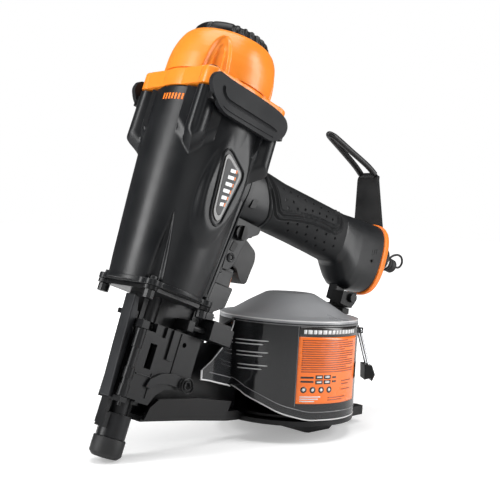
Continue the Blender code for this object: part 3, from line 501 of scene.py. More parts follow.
# rear web of the casting, running down from the cap to the flange
P, F = merge(prism([(30, 124), (36.5, 124), (40.5, 150), (44, 196), (50, 236), (44, 258), (30, 258)], -16.5, 16.5))
piece("body_rear_web", P, F, COAT, "tool_body", slot="body_housing", bevel=1.6, seg=3)
# raised seam of the casting along the web, and small moulded marks of plain shape
for sy in (-1, 1):
    path = smooth_path([(38, 16.8 * sy, 250), (44.5, 16.8 * sy, 224), (41, 16.8 * sy, 190), (37.5, 16.4 * sy, 160), (34, 16.2 * sy, 128)], 12)
    piece("web_seam_" + ("left" if sy < 0 else "right"), *tube(path, 0.75, 8, taper=True), COAT, "tool_body", slot="body_housing")
ring = lathe([(1.9, -13.0), (3.6, -13.0), (3.6, -13.7), (2.9, -14.1), (1.9, -13.9)], 32, (48.7, 163.7), axis="y")
piece("pivot_boss", *ring, COAT, "tool_body", slot="body_housing")
m1 = rnd([(45.2, 168.8), (49.8, 168.4), (52.2, 175.6), (47.0, 176.6)], 1.0)
piece("mark_lower", *prism(m1, -13.5, -12.6), BLACKP, "tool_body", bevel=0.25)
m2 = rnd([(49.0, 204.0), (54.6, 205.4), (56.0, 212.4), (50.4, 211.4)], 1.2)
frame_ = [prism(m2, -18.0, -16.6)]
mk = piece("mark_upper", *merge(*frame_), BLACKP, "tool_body", bevel=0.25)
piece("mark_dot", *lathe([(0, -20.4), (1.3, -20.4), (1.3, -19.2), (1.0, -18.6), (0, -18.6)], 24, (201.5, 212.6), axis="y"), BLACKP, "tool_body")
for k, (x0, z0) in enumerate(((198.8, 217.2), (201.6, 218.4), (204.4, 219.6))):
    piece("mark_tick_%d" % k, *prism(rnd([(x0, z0), (x0 + 1.0, z0), (x0 + 0.6, z0 + 4.4), (x0 - 0.4, z0 + 4.4)], 0.3), -19.3, -18.2), BLACKP, "tool_body")
# a row of small orange bars on the front of the barrel, where the tool carries a word
for k in range(7):
    a0 = math.radians(-183 + k * 4.0)
    a1 = a0 + math.radians(2.3)
    aa = np.linspace(a0, a1, 6)
    bot = 252.0
    def strip(t, z, aa=aa):
        r = barrel_r(aa, min(z, 262)) + 0.10
        return np.c_[r * np.cos(aa), r * np.sin(aa), np.full(len(aa), z)]
    top = grid(strip, aa, np.linspace(bot, 256.6, 5), ends=False)
    o = piece("front_bar_%d" % k, *top, ORANGE_P, "tool_body", recalc=False)
    s = o.modifiers.new("thick", "SOLIDIFY")
    s.thickness = 0.0002
    s.offset = 0.0

# ------------------------------------------------------------------ cylinder cap
def band_r(th):
    c, s = np.abs(np.cos(th)), np.abs(np.sin(th))
    flat = 40.5 / np.maximum(c, s)
    cham = 70.0 / (c + s)
    r = np.minimum(flat, cham)
    ph = np.abs((np.degrees(th) % 90) - 45)
    d = SX * math.sqrt(2)
    q = d * np.sin(np.radians(ph))
    lobe = np.where(np.abs(q) < 7.4, d * np.cos(np.radians(ph)) + np.sqrt(np.maximum(7.4 ** 2 - q * q, 0)), 0)
    bulge = 41.9 + 0 * th
    return np.maximum(np.maximum(r, lobe), bulge)


def dome_r(th, z):
    r = np.interp(z, [268, 280, 290, 296, 300, 304, 308, 311, 313, 314.2], [41.3, 41.5, 41.2, 40.5, 39.6, 38.4, 36.8, 35.2, 33.4, 30.8]) * np.ones_like(th)
    phd = (np.degrees(th) % 90) - 45
    ph = np.abs(phd)
    half = float(np.interp(z, [270, 290, 298, 302, 304.5, 306.5, 307.5], [16.0, 13.0, 11.0, 9.0, 7.0, 4.0, 0.5]))
    w = sstep((half - ph) / 4.2) * np.interp(z, [270, 300, 307], [1, 0.9, 0.25])
    r = r - 3.3 * w
    h2 = float(np.interp(z, [270, 290, 298, 300, 301.2], [6.6, 5.4, 4.3, 2.6, 0.3]))
    r = r - 2.0 * sstep((h2 - ph) / 1.6) * np.interp(z, [270, 292, 301], [1, 0.9, 0.2])
    return r


zs_dome = finer([277.2, 280, 284, 288, 292, 296, 300, 304, 308, 311, 313], 5) + [313.5, 313.9, 314.2]
rings = []
for z, k in ((263.8, -8.0), (263.6, -0.8), (263.9, -0.2), (264.5, 0.0), (270, 0.0), (275.6, 0.0), (276.4, -0.25), (276.9, -0.8), (277.0, -1.6)):
    rr = (band_r(TH) + k) if k > -5 else np.full(len(TH), 33.6)
    rings.append(np.c_[rr * np.cos(TH), rr * np.sin(TH), np.full(len(TH), z)])
for z, e in ((277.05, 1.6), (277.3, 0.7), (278.0, 0.25)):
    rr = np.minimum(dome_r(TH, 278) + e, band_r(TH) - 1.7)
    rings.append(np.c_[rr * np.cos(TH), rr * np.sin(TH), np.full(len(TH), z)])
for z in zs_dome[1:]:
    rr = dome_r(TH, z)
    rings.append(np.c_[rr * np.cos(TH), rr * np.sin(TH), np.full(len(TH), z)])
P = np.concatenate(rings)
n = len(TH)
F = []
for i in range(len(rings) - 1):
    for j in range(n):
        a, b = i * n + j, i * n + (j + 1) % n
        F.append((a, b, b + n, a + n))
F.append(tuple(reversed(range(n))))
F.append(tuple(range((len(rings) - 1) * n, len(rings) * n)))
cap = piece("cap_shell", P, F, ORANGE, "tool_body", slot="cylinder_cap", angle=48)
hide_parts("cylinder_cap")
for sx in (-1, 1):
    for sy in (-1, 1):
        cutwith(cap, *prism(circ(6.0, 32, (sx * SX, sy * SX)), 272.2, 300, "z"))
        piece("cap_washer_%d%d" % (sx > 0, sy > 0), *lathe([(3.1, 272.0), (5.6, 272.0), (5.6, 272.9), (3.1, 272.9)], 32, (sx * SX, sy * SX)), STEEL, "tool_body")


# ------------------------------------------------------------------ exhaust deflector: smooth panels and a comb of ribs
def exhaust_mod(th, r, z):
    if r < 9:
        return np.full(len(th), r)
    a = (np.degrees(th) + 360) % 360
    k = sstep((z - 314.8) / 1.2) * (1.0 if r > 20 else 0.0)
    rib = (a > 238) | (a < 20)
    tooth = 0.5 + 0.5 * np.cos(np.radians((a + 122) * 360 / 12.6))
    cut = np.where(rib, 2.3 * sstep(tooth * 1.7), 0.0)
    for c in (30, 72, 112, 152, 192, 231):
        dd = np.abs((a - c + 180) % 360 - 180)
        cut = np.maximum(cut, 1.5 * np.exp(-(dd / 2.2) ** 2))
    return r - cut * k


ex = lathe([(3.1, 314.5), (29.8, 314.5), (29.9, 315.4), (29.85, 316.6), (29.5, 318.2), (28.8, 319.8), (27.6, 321.3), (26.2, 322.2), (24.6, 322.5), (12, 322.5), (8, 322.5), (7.4, 321.9), (7, 318.6), (3.1, 318.6)], 540, mod=exhaust_mod)
exo = piece("exhaust_cap", *ex, BLACKP, "exhaust_deflector", slot="exhaust_deflector", angle=40)
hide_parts("exhaust_deflector")

# ------------------------------------------------------------------ bumpers
BUMP = [(-41.8, 264), (-40.2, 269.6), (-37, 272.2), (-31, 271.8), (-25, 271.4), (0, 271.6), (18, 271.2), (27, 270.2), (34, 268.0), (37.6, 263), (36.5, 255.5), (30, 249), (24, 247), (-22, 247), (-29, 249.5), (-38, 257)]
for sy, nm in ((-1, "left"), (1, "right")):
    lo, hi = sorted((42.8 * sy, 46.8 * sy))
    o = piece("side_bumper_" + nm, *prism(rnd(BUMP, 3.2, 5), lo, hi), BUMPER, "tool_body", slot="bumper_" + nm, bevel=0.8, seg=3)
    path = smooth_path([(-30.2, 46.9 * sy, 264.6), (-29.0, 46.9 * sy, 260.6), (-24.5, 46.9 * sy, 257.0), (-18, 46.9 * sy, 256.2), (0.8, 46.9 * sy, 256.2), (28.2, 46.9 * sy, 256.0)], 6)
    cutwith(o, *tube(path, 1.6, 10, taper=True))
    path = smooth_path([(-26, 46.8 * sy, 250.9), (-20, 46.8 * sy, 249.7), (0, 46.8 * sy, 249.7), (26, 46.8 * sy, 250.4)], 6)
    cutwith(o, *tube(path, 0.45, 8))
    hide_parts("bumper_" + nm)
    parts = []
    for x in (-SX, SX):
        y0, y1 = sorted((40.5 * sy, 45 * sy))
        parts.append(boxp(x - 4, x + 4, y0, y1, 252, 260))
    parts.append(prism([(-26, 248.2), (22, 247.6), (22, 252), (-26, 252)], *sorted((40.9 * sy, 43.4 * sy))))
    piece("bumper_mount_" + nm, *merge(*parts), BLACKP, "tool_body", bevel=0.4)

# ------------------------------------------------------------------ handle grip
g_keys = [(50, 240.3, 192.6, 18.0), (60, 240.6, 193.8, 18.1), (70, 240.2, 195.6, 18.1), (86.3, 239.5, 198.0, 17.8), (118, 240.6, 198.6, 18.1), (145, 241.4, 198.6, 18.1), (162.6, 242.0, 198.3, 17.9)]
IN = np.array([(62.0, 236.0), (71.6, 225.5), (78.9, 215.0), (82, 213.0), (86.4, 213.0), (96.6, 216.2), (110.3, 219.6), (125.4, 221.9), (141.4, 222.7), (146.6, 223.8), (149.6, 227.2), (149.4, 233.0), (147.8, 238.5)])
OUT = np.array([(57.0, 234.4), (68.3, 222.6), (75.9, 211.4), (79.5, 208.9), (84.3, 208.7), (94.6, 212.0), (108.1, 215.7), (122.8, 218.2), (136.7, 219.0), (147.8, 219.7), (152.6, 223.4), (153.6, 230.1), (151.8, 238.5)])
DOTS = [(79.5, 231.5), (88, 232.0), (97, 232.0), (106.2, 232.6), (116.5, 232.9), (126.1, 233.3), (135.5, 233.6), (83.5, 223.8), (92.4, 225.3), (88.4, 218.6), (98.4, 221.6), (107.0, 224.4), (115.6, 226.4), (124.4, 227.6), (133.3, 228.4), (141.4, 228.6),
        (93.4, 207.6), (103.2, 210.4), (114.3, 212.4), (126.1, 213.8), (137.9, 214.6), (149.5, 215.0), (98, 202.8), (107, 204.6), (116.8, 206.4), (127.8, 207.4), (139.4, 208.0), (151.2, 208.6), (122.5, 202.2), (133.6, 202.6), (145, 202.6)]


def dist_poly(x, z, line):
    best = np.full(x.shape, 1e9)
    for a, b in zip(line[:-1], line[1:]):
        d = b - a
        t = np.clip(((x - a[0]) * d[0] + (z - a[1]) * d[1]) / (d @ d), 0, 1)
        best = np.minimum(best, np.hypot(x - a[0] - t * d[0], z - a[1] - t * d[1]))
    return best


IN_S = np.array(smooth_path([tuple(p) for p in IN], 4))
OUT_S = np.array(smooth_path([tuple(p) for p in OUT], 4))


def front_x(z):
    return np.interp(z, [192, 206, 217, 227, 233, 240], [70.5, 70.6, 67.0, 60.8, 56.5, 53.0])


nt, nx = 360, 300
tt = np.linspace(0, 2 * math.pi, nt, endpoint=False)
P = np.zeros((nx, nt, 3))
keys = np.array(g_keys)
c, s = np.cos(tt), np.sin(tt)
pw = 2 / 2.7
for i in range(nx):
    f = i / (nx - 1)
    z = 219 + 21 * np.sign(s) * np.abs(s) ** pw
    x = front_x(z) * (1 - f) + 162.6 * f
    zt, zb, hw = (np.interp(x, keys[:, 0], keys[:, k]) for k in (1, 2, 3))
    zc, hh = (zt + zb) / 2, (zt - zb) / 2
    y = hw * np.sign(c) * np.abs(c) ** pw
    z = zc + hh * np.sign(s) * np.abs(s) ** pw
    nyv, nzv = np.sign(c) * np.abs(c) ** (2 - pw) / hw, np.sign(s) * np.abs(s) ** (2 - pw) / hh
    nn = np.hypot(nyv, nzv)
    nyv, nzv = nyv / nn, nzv / nn
    side = sstep((np.abs(nyv) - 0.25) / 0.3)
    b = np.zeros(nt)
    for line in (IN_S, OUT_S):
        dd = dist_poly(x, z, line)
        b = np.maximum(b, 1.15 * sstep(1 - dd / 1.3))
    dI = dist_poly(x, z, IN_S)
    dO = dist_poly(x, z, OUT_S)
    b = b - 0.6 * sstep(1 - np.abs(np.minimum(dI, dO) - 2.0) / 0.7)
    b = b * side
    for q in DOTS:
        rr = np.hypot(x - q[0], z - q[1])
        b = b - 1.3 * sstep((1.15 - rr) / 0.5) * side
    lead = x - front_x(z)
    b = b + 0.55 * sstep(1 - np.abs(lead - 1.0) / 1.2)
    b = b - 0.6 * sstep(1 - np.abs(lead - 3.4) / 0.9)
    edge = np.minimum(f, 1 - f)
    b = b - 1.0 * sstep(1 - edge / 0.006)
    P[i, :, 0] = x
    P[i, :, 1] = y + nyv * b
    P[i, :, 2] = z + nzv * b
P = P.reshape(-1, 3)
F = [(i * nt + j, i * nt + (j + 1) % nt, (i + 1) * nt + (j + 1) % nt, (i + 1) * nt + j) for i in range(nx - 1) for j in range(nt)]
F += [tuple(reversed(range(nt))), tuple(range((nx - 1) * nt, nx * nt))]
o = piece("grip_sleeve", P, F, RUBBER, "tool_body", slot="handle_grip", angle=70)
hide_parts("handle_grip")

TR = [(45.6, 165.5), (46.3, 160.8), (54, 159.6), (61.8, 160.8), (69.8, 151.6), (74.2, 149.6), (77.2, 152), (78.0, 160), (79.6, 170.5), (77.5, 177.5), (65.5, 183.0), (60, 183.0), (54, 175), (47, 167.8)]
o = piece("trigger_shoe", *prism(rnd(TR, 4.5, 6), -6.9, 6.9), BLACKP, "trigger", slot="trigger", bevel=1.4, seg=4)
cutwith(o, *prism([(51.6, 152), (61, 155), (73.8, 160.5), (75.6, 172), (73, 190), (53, 190), (51.6, 175)], -4.2, 4.2))
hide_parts("trigger")

# ------------------------------------------------------------------ end cap, dust cap, springs, tip
e_keys = [(213.1, 249.4, 184.6, 19.8), (213.5, 249.7, 184.3, 20.05), (214.3, 249.9, 184.2, 20.15), (215.8, 250.0, 184.2, 20.2), (217.4, 249.7, 184.8, 20.0), (219.4, 248.9, 186.0, 19.5), (220.4, 248.0, 187.2, 18.8), (220.6, 247.0, 188.2, 18.0)]
P, F = grid(lambda t, k: section(e_keys[int(k)][0], *e_keys[int(k)][1:], t), TS, range(len(e_keys)), wrap_u=True)
o = piece("end_ring", P, F, ORANGE_P, "tool_body", slot="end_cap", angle=60)
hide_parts("end_cap")
boss = lathe([(7.0, 219.5), (12.5, 219.5), (12.5, 225.4), (11.7, 226.4), (7.2, 226.5)], 64, (0, 223), axis="x")
piece("end_boss", *boss, ORANGE_P, "tool_body", slot="end_cap")
loop = smooth_path([(243.4, -3.6, 228.6), (246.2, -5.0, 231.8), (250.6, -6.2, 233.8), (255.4, -6.6, 233.2), (258.6, -6.2, 230.0), (259.2, -5.4, 226.6), (257.4, -4.6, 223.8), (253.2, -3.6, 222.8), (250.6, -3.0, 222.8)], 8)
band = lathe([(5.6, 242.0), (6.6, 242.0), (7.0, 242.5), (7.0, 244.2), (6.6, 244.7), (5.6, 244.7)], 40, (0, 223), axis="x")
cup = lathe([(4.9, 246.4), (6.0, 246.4), (6.3, 246.9), (6.3, 252.2), (5.4, 253.4), (3.0, 253.9), (0, 253.9), (0, 250.4), (4.9, 250.4)], 40, (0, 223), axis="x")
o = piece("dust_cap_rubber", *merge(cup, tube(loop, 1.0, 10), band), TIPR, "dust_cap", slot="dust_cap")
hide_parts("dust_cap")
hexn = prism(circ(8.0, 6, (0, 223)), 233.6, 238.3, "x")
piece("air_plug_hex", *hexn, NICKEL, "tool_body", slot="air_plug", bevel=0.5)

hz = helix(4.4, 103.3, 119.0, 5, 0.6)
hz = (hz[0] + np.array([56.0, 0, 0]), hz[1])
o = piece("rod_spring", *hz, STEEL, "tool_body", slot="contact_spring")
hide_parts("contact_spring")
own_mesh(o)
hz = helix(25.5, 258.3, 295, 4, 1.1, n=48)
o = piece("valve_spring", *hz, STEEL, "tool_body", slot="head_valve_spring")
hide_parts("head_valve_spring")
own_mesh(o)
hz = helix(3.9, 42.9, 52.9, 4, 0.5)
P = np.c_[hz[0][:, 2], -17 + hz[0][:, 0], 104 + hz[0][:, 1]]
o = piece("feed_coil", P, hz[1], STEEL, "tool_body", slot="feed_spring")
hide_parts("feed_spring")
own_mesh(o)
hz = helix(5.4, 0, 3.4, 2.0, 0.5, n=40)
P = np.c_[38.5 + hz[0][:, 0], -17.2 - hz[0][:, 2], 62.8 + hz[0][:, 1]]
inner = helix(2.9, 0, 3.4, 2.0, 0.5, n=36)
P2 = np.c_[38.5 + inner[0][:, 0], -17.2 - inner[0][:, 2], 62.8 + inner[0][:, 1]]
o = piece("latch_coil", *merge((P, hz[1]), (P2, inner[1])), OXIDE, "nose_door", slot="latch_spring")
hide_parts("latch_spring")
tip = lathe([(4.6, 0), (8.6, 0), (9.2, 0.2), (11.4, 2.6), (11.6, 3.2), (11.6, 13.2), (11.2, 13.9), (8.6, 14), (8.6, 2.5), (4.6, 2.5)], 72)
o = piece("tip_cup", *tip, TIPR, "contact_arm", slot="no_mar_tip")
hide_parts("no_mar_tip")


def knurl(th, r, z):
    return r - (0.55 if r > 8.0 else 0.0) * (0.5 + 0.5 * np.cos(th * 26))


wheel = lathe([(2.9, 143.2), (7.6, 143.2), (8.3, 143.8), (8.5, 144.4), (8.5, 151.0), (8.3, 151.6), (7.6, 152.2), (2.9, 152.2)], 208, (0, 0), mod=knurl)
wheel = (wheel[0] + np.array([56.0, 0, 0]), wheel[1])
o = piece("depth_dial", *wheel, ORANGE_P, "depth_wheel", slot="depth_wheel")
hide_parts("depth_wheel")


# ------------------------------------------------------------------ magazine cover
def top_of(x):
    return np.interp(x, [-102.5, -93, -76, -64, -57.3], [-37, -31, -18, -2.5, -0.8])


def path_near():
    snout = smooth_path([(-102.5, -13.2, 0), (-93, -12.6, 0), (-86, -11.5, 0), (-76, -9.3, 0), (-66, -5, 0), (-57.3, 3.0, 0)], 8)[:-6]
    arcp = [(CAN_R * math.cos(math.radians(a)), CAN_R * math.sin(math.radians(a)), 0) for a in np.linspace(-184, -9, 150)]
    return [tuple(p[:2]) for p in snout] + [p[:2] for p in arcp]


NP_ = path_near()


def bot_at(p):
    if p[0] < -57.0 and p[1] < 2:
        return float(np.interp(p[0], [-102.5, -93, -57], [-44, -46, -55]))
    a = (math.degrees(math.atan2(p[1], p[0])) - 360) % -360
    return float(np.interp(a, [-184, -172, -154, -138, -117, -9], [-54.5, -58, -64, -70.5, -75.0, -75.4]))


def top_at(p):
    return float(top_of(p[0])) if p[0] < -57 else -0.8


def normals_of(path):
    N = []
    for k in range(len(path)):
        a, b = np.array(path[max(k - 1, 0)]), np.array(path[min(k + 1, len(path) - 1)])
        d = (b - a) / np.linalg.norm(b - a)
        N.append(np.array([-d[1], d[0]]))
    return N


NN = normals_of(NP_)
bots = np.array([bot_at(p) for p in NP_])
ker = np.ones(9) / 9
bots = np.convolve(np.pad(bots, 4, mode="edge"), ker, mode="valid")
tops = np.array([top_at(p) for p in NP_])
rings = []
for k, p in enumerate(NP_):
    q = np.array(p) + NN[k] * 1.9
    p = np.array(p)
    m = p + NN[k] * 0.5
    rings.append([(m[0], m[1], bots[k]), (q[0], q[1], bots[k]), (q[0], q[1], tops[k]), (p[0], p[1], tops[k]), (p[0], p[1], bots[k] + 0.5)])
n = 5
P = np.array([v for r in rings for v in r])
F = [(i * n + j, i * n + (j + 1) % n, (i + 1) * n + (j + 1) % n, (i + 1) * n + j) for i in range(len(rings) - 1) for j in range(n)]
F += [tuple(reversed(range(n))), tuple(range((len(rings) - 1) * n, len(rings) * n))]
cover = piece("cover_wall", P, F, SMOKE, "magazine_cover", in_can=True, slot="magazine_cover")
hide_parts("magazine_cover")
prof = [(0, 19.6), (14, 19.55), (18.4, 19.3), (20.6, 18.7), (34, 11.4), (45.6, 4.2), (48.4, 3.1), (55.4, 1.9), (56.6, 1.4), (57.2, 0.4), (57.3, -0.6), (57.2, -2.0), (55.2, -2.0), (54.6, -0.2), (46.6, 1.2), (33, 9.6), (19.5, 17.2), (0, 17.6)]
# the cover's dome, coloured with painted light on its top
piece("cover_dome", *lathe(prof, 160), DOME_PAINTED_LIGHT, "magazine_cover", in_can=True, slot="magazine_cover", angle=25)
# tubes along the cover's bottom edge, lip, rims and snout, coloured as painted highlights on the clear plastic
lip = [(p[0] + NN[k][0] * 0.55, p[1] + NN[k][1] * 0.55, bots[k] + 0.4) for k, p in enumerate(NP_)]
piece("cover_edge", *tube(lip, 0.72, 10), PAINTED_HIGHLIGHT, "magazine_cover", in_can=True, slot="magazine_cover")
lip2 = [(p[0] - NN[k][0] * 0.0, p[1] - NN[k][1] * 0.0, bots[k] + 6.6) for k, p in enumerate(NP_) if k > 6]
piece("cover_lip", *tube(lip2, 0.34, 8), PAINTED_HIGHLIGHT_DIM, "magazine_cover", in_can=True, slot="magazine_cover")
topl = [(56.7 * math.cos(a), 56.7 * math.sin(a), 1.0) for a in np.linspace(0, 2 * math.pi, 160, endpoint=False)]
piece("cover_rim", *tube(topl, 0.55, 8, closed=True), PAINTED_HIGHLIGHT, "magazine_cover", in_can=True, slot="magazine_cover")
topl = [(57.1 * math.cos(a), 57.1 * math.sin(a), -2.2) for a in np.linspace(math.radians(-182), math.radians(-9), 120)]
piece("cover_rim_low", *tube(topl, 0.36, 8), PAINTED_HIGHLIGHT_DIM, "magazine_cover", in_can=True, slot="magazine_cover")
nose_edge = [(NP_[0][0] + 0.3, NP_[0][1] + 0.3, h) for h in np.linspace(bots[0] + 0.4, tops[0], 8)]
piece("cover_snout_edge", *tube(nose_edge, 0.8, 10), PAINTED_HIGHLIGHT, "magazine_cover", in_can=True, slot="magazine_cover")
up_edge = [(p[0], p[1], tops[k]) for k, p in enumerate(NP_) if p[0] < -57.5]
piece("cover_snout_top", *tube(up_edge, 0.5, 8), PAINTED_HIGHLIGHT_DIM, "magazine_cover", in_can=True, slot="magazine_cover")
# ribs and a seam line on the cover's near side, coloured as painted highlights
k = 0
for h in (-17, -26, -36):
    for dh in (0.0, 3.0):
        a0, a1 = (-181 - (h + 17) * 0.2, -150 - dh * 1.5)
        pth = [(57.45 * math.cos(math.radians(a)), 57.45 * math.sin(math.radians(a)), h - dh + 1.2 * ((a - a0) / (a1 - a0))) for a in np.linspace(a0, a1, 26)]
        piece("cover_rib_%d" % k, *tube(pth, 0.42, 8, taper=True), PAINTED_HIGHLIGHT, "magazine_cover", in_can=True, slot="magazine_cover")
        k += 1
seam = [(57.4 * math.cos(math.radians(-127.6)), 57.4 * math.sin(math.radians(-127.6)), h) for h in np.linspace(-64, -1.5, 10)]
piece("cover_seam", *tube(seam, 0.22, 6), PAINTED_HIGHLIGHT_DIM, "magazine_cover", in_can=True)


def patch(name, a0, a1, h0, h1, r, mat, n=None, rr=0.0):
    n = n or max(3, int(abs(a1 - a0) / 1.5) + 2)
    aa = np.linspace(math.radians(a0), math.radians(a1), n)
    hs = np.linspace(h0, h1, max(2, int(abs(h1 - h0) / 2) + 2))

    def fn(u, h):
        f = (h - h0) / (h1 - h0)
        k = 0.0
        if rr:
            d = min(abs(h - h0), abs(h1 - h))
            k = rr - math.sqrt(max(rr * rr - max(rr - d, 0) ** 2, 0)) if d < rr else 0.0
        kk = math.radians(math.degrees(k / CAN_R))
        v = np.interp(u, [aa[0], aa[-1]], [aa[0] + kk, aa[-1] - kk])
        return np.c_[r * np.cos(v), r * np.sin(v), np.full(len(u), h)]
    P, F = grid(fn, aa, hs, ends=False)
    o = piece(name, P, F, mat, "magazine_cover", in_can=True, recalc=False)
    s = o.modifiers.new("thick", "SOLIDIFY")
    s.thickness = 0.00008
    s.offset = 0.0
    return o


patch("label_band", -127, -64, -10.4, -2.9, 57.42, FILM_K)
patch("label_field", -127, -64, -62, -10.6, 57.42, FILM_O, n=40)
rng = np.random.RandomState(7)
a = -123.5
k = 0
while a < -70:
    w = 2.2 + 1.6 * rng.rand()
    patch("label_dash_%d" % k, a, a + w, -8.3, -5.2, 57.52, FILM_W)
    a += w + 0.9
    k += 1
for i in range(15):
    h = -13.2 - i * 1.72
    end = -70 if i % 4 else -78 - 6 * rng.rand()
    patch("label_line_%d" % i, -124.0, end, h - 0.42, h + 0.36, 57.50, FILM_D, n=24)
for i in range(2):
    patch("label_row_%d" % i, -124, -113.5, -42.4 - i * 3.2, -41.0 - i * 3.2, 57.50, FILM_K)
    patch("label_row_r%d" % i, -96.5, -92.5, -42.4 - i * 3.2, -41.0 - i * 3.2, 57.50, FILM_K)
for i in range(2):
    for j in range(2):
        patch("label_cell_%d%d" % (i, j), -112 + i * 7.4, -105.6 + i * 7.4, -42.9 - j * 3.9, -39.8 - j * 3.9, 57.50, FILM_K)
        patch("label_cellin_%d%d" % (i, j), -110.8 + i * 7.4, -106.8 + i * 7.4, -41.9 - j * 3.9, -40.8 - j * 3.9, 57.56, FILM_W)
for i in range(4):
    ac, hc = -121.3 + i * 7.4, -51.2
    for rad, mt, lift in ((2.5, FILM_K, 57.50), (1.15, FILM_W, 57.56)):
        n = 28
        P = [(lift * math.cos(math.radians(ac)), lift * math.sin(math.radians(ac)), hc)]
        for j in range(n):
            t = 2 * math.pi * j / n
            aa_ = math.radians(ac) + rad * math.cos(t) / CAN_R
            P.append((lift * math.cos(aa_), lift * math.sin(aa_), hc + rad * math.sin(t)))
        F = [(0, 1 + j, 1 + (j + 1) % n) for j in range(n)]
        o = piece("label_disc_%d%s" % (i, "k" if rad > 2 else "w"), P, F, mt, "magazine_cover", in_can=True, recalc=False)
        s_ = o.modifiers.new("thick", "SOLIDIFY")
        s_.thickness = 0.00008
for i, (x0, x1) in enumerate(((-124, -107), (-124, -109), (-124, -112))):
    patch("label_foot_%d" % i, x0, x1, -57.0 - i * 1.7, -56.2 - i * 1.7, 57.50, FILM_W)
for i, (x0, x1, h) in enumerate(((-100, -80, -57.4), (-100, -84, -59.2), (-86, -72, -45.0), (-86, -76, -47.4), (-86, -73, -51.6))):
    patch("label_note_%d" % i, x0, x1, h - 0.4, h + 0.4, 57.50, FILM_D)

# hinge barrel of the cover and the ears of its latch
kn = merge(prism(circ(4.0, 28, (62.8, -3.0)), -72, -2, "z"), prism([(55.4, -10.3), (62.8, -7.0), (62.8, -1.0), (56.2, -7.5)], -72, -2, "z"))
piece("cover_knuckle", *kn, SMOKE, "magazine_cover", in_can=True, slot="magazine_cover", bevel=0.4)
LA = math.radians(-38)
LM = np.array(Matrix.Translation((math.cos(LA) * 58.6, math.sin(LA) * 58.6, 0)) @ Matrix.Rotation(LA, 4, "Z"))
ears = []
for s in (-8.2, 8.2):
    P, F = boxp(-3.0, 2.6, s - 1.3, s + 1.3, -10.6, -5.8)
    ears.append(((np.c_[P, np.ones(len(P))] @ LM.T)[:, :3], F))
piece("cover_ears", *merge(*ears), SMOKE, "magazine_cover", in_can=True, slot="magazine_cover", bevel=0.5)

# ------------------------------------------------------------------ side badges: plain stripes on a rounded triangle
BD = [(-7.6, 222.0), (-5.4, 224.6), (-2.4, 223.6), (10.0, 216.2), (10.9, 213), (3.8, 178.4), (1.2, 176.2), (-2.7, 178.9), (-4.6, 182.6)]
BI = [(-5.9, 219.8), (-4.6, 221.4), (-2.4, 220.6), (7.9, 214.4), (8.3, 212.4), (2.5, 181.6), (1.0, 180.4), (-1.3, 181.8), (-2.8, 185)]
OUTB = [(-9.6, 223.6), (-6.6, 228.2), (-2.0, 227.0), (12.4, 217.6), (13.6, 212.6), (5.6, 176.2), (1.2, 172.4), (-4.4, 176.2), (-6.8, 182.4)]
for sy, nm in ((-1, "left"), (1, "right")):
    rim = [np.array((p[0], 41.95 * sy, p[1])) for p in rnd(OUTB, 5.0, 6)]
    piece("badge_ridge_" + nm, *tube(rim, 0.85, 8, closed=True), COAT, "tool_body", slot="body_housing")
    y0, y1 = sorted((41.2 * sy, 42.7 * sy))
    o = piece("badge_plate_" + nm, *prism(rnd(BD, 3.0, 5), y0, y1), FILM_K, "tool_body", slot="badge_" + nm, bevel=0.3)
    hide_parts("badge_" + nm)
    y0, y1 = sorted((42.5 * sy, 42.95 * sy))
    piece("badge_panel_" + nm, *prism(rnd(BI, 2.2, 5), y0, y1), FILM_S if False else COAT, "tool_body", bevel=0.15)
    y0, y1 = sorted((42.8 * sy, 43.2 * sy))
    for i in range(6):
        f = i / 5
        zc = 187.5 + f * 25.5
        xc = 0.6 + (zc - 185) * 0.058
        hw_ = 1.7 + 1.0 * math.sin(f * math.pi) + f * 0.7
        piece("badge_bar_%s_%d" % (nm, i), *prism(rnd([(xc - hw_, zc - 0.4), (xc + hw_, zc + 0.4), (xc + hw_, zc + 3.0), (xc - hw_, zc + 2.2)], 0.5, 3), y0, y1), FILM_W, "tool_body")
        piece("badge_dash_%s_%d" % (nm, i), *prism(rnd([(xc + hw_ + 0.5, zc + 0.5), (xc + hw_ + 1.3, zc + 0.6), (xc + hw_ + 1.3, zc + 3.2), (xc + hw_ + 0.5, zc + 3.1)], 0.2, 2), y0, y1), ORANGE_P, "tool_body")

# ------------------------------------------------------------------ nose details
piece("guard_mark", *merge(prism(rnd([(-18.9, 72), (-17.6, 72), (-17.3, 86), (-18.5, 86)], 0.4), -7.4, -6.6)), BLACKP, "tool_body")
rail = merge(boxp(23.2, 24.4, -15.3, -14.2, 62, 97.2), boxp(-6.6, 42.6, -15.3, -14.4, 60.6, 61.6), boxp(7, 8.2, -15.3, -14.2, 46, 64))
piece("door_rails", *rail, OXIDE, "nose_door", slot="nose_door", bevel=0.3)
kn = []
for z0, z1 in ((43.6, 52), (56, 64), (78, 91.4)):
    kn.append(prism(circ(3.7, 28, (-11.0, -13.0)), z0, z1, "z"))
piece("door_knuckles", *merge(*kn), OXIDE, "nose_door", slot="nose_door", bevel=0.4)
strap = merge(boxp(-14.2, -12.4, -4.2, 2.4, 30, 96), boxp(-14.0, -9.6, -6.4, -2.2, 84, 99))

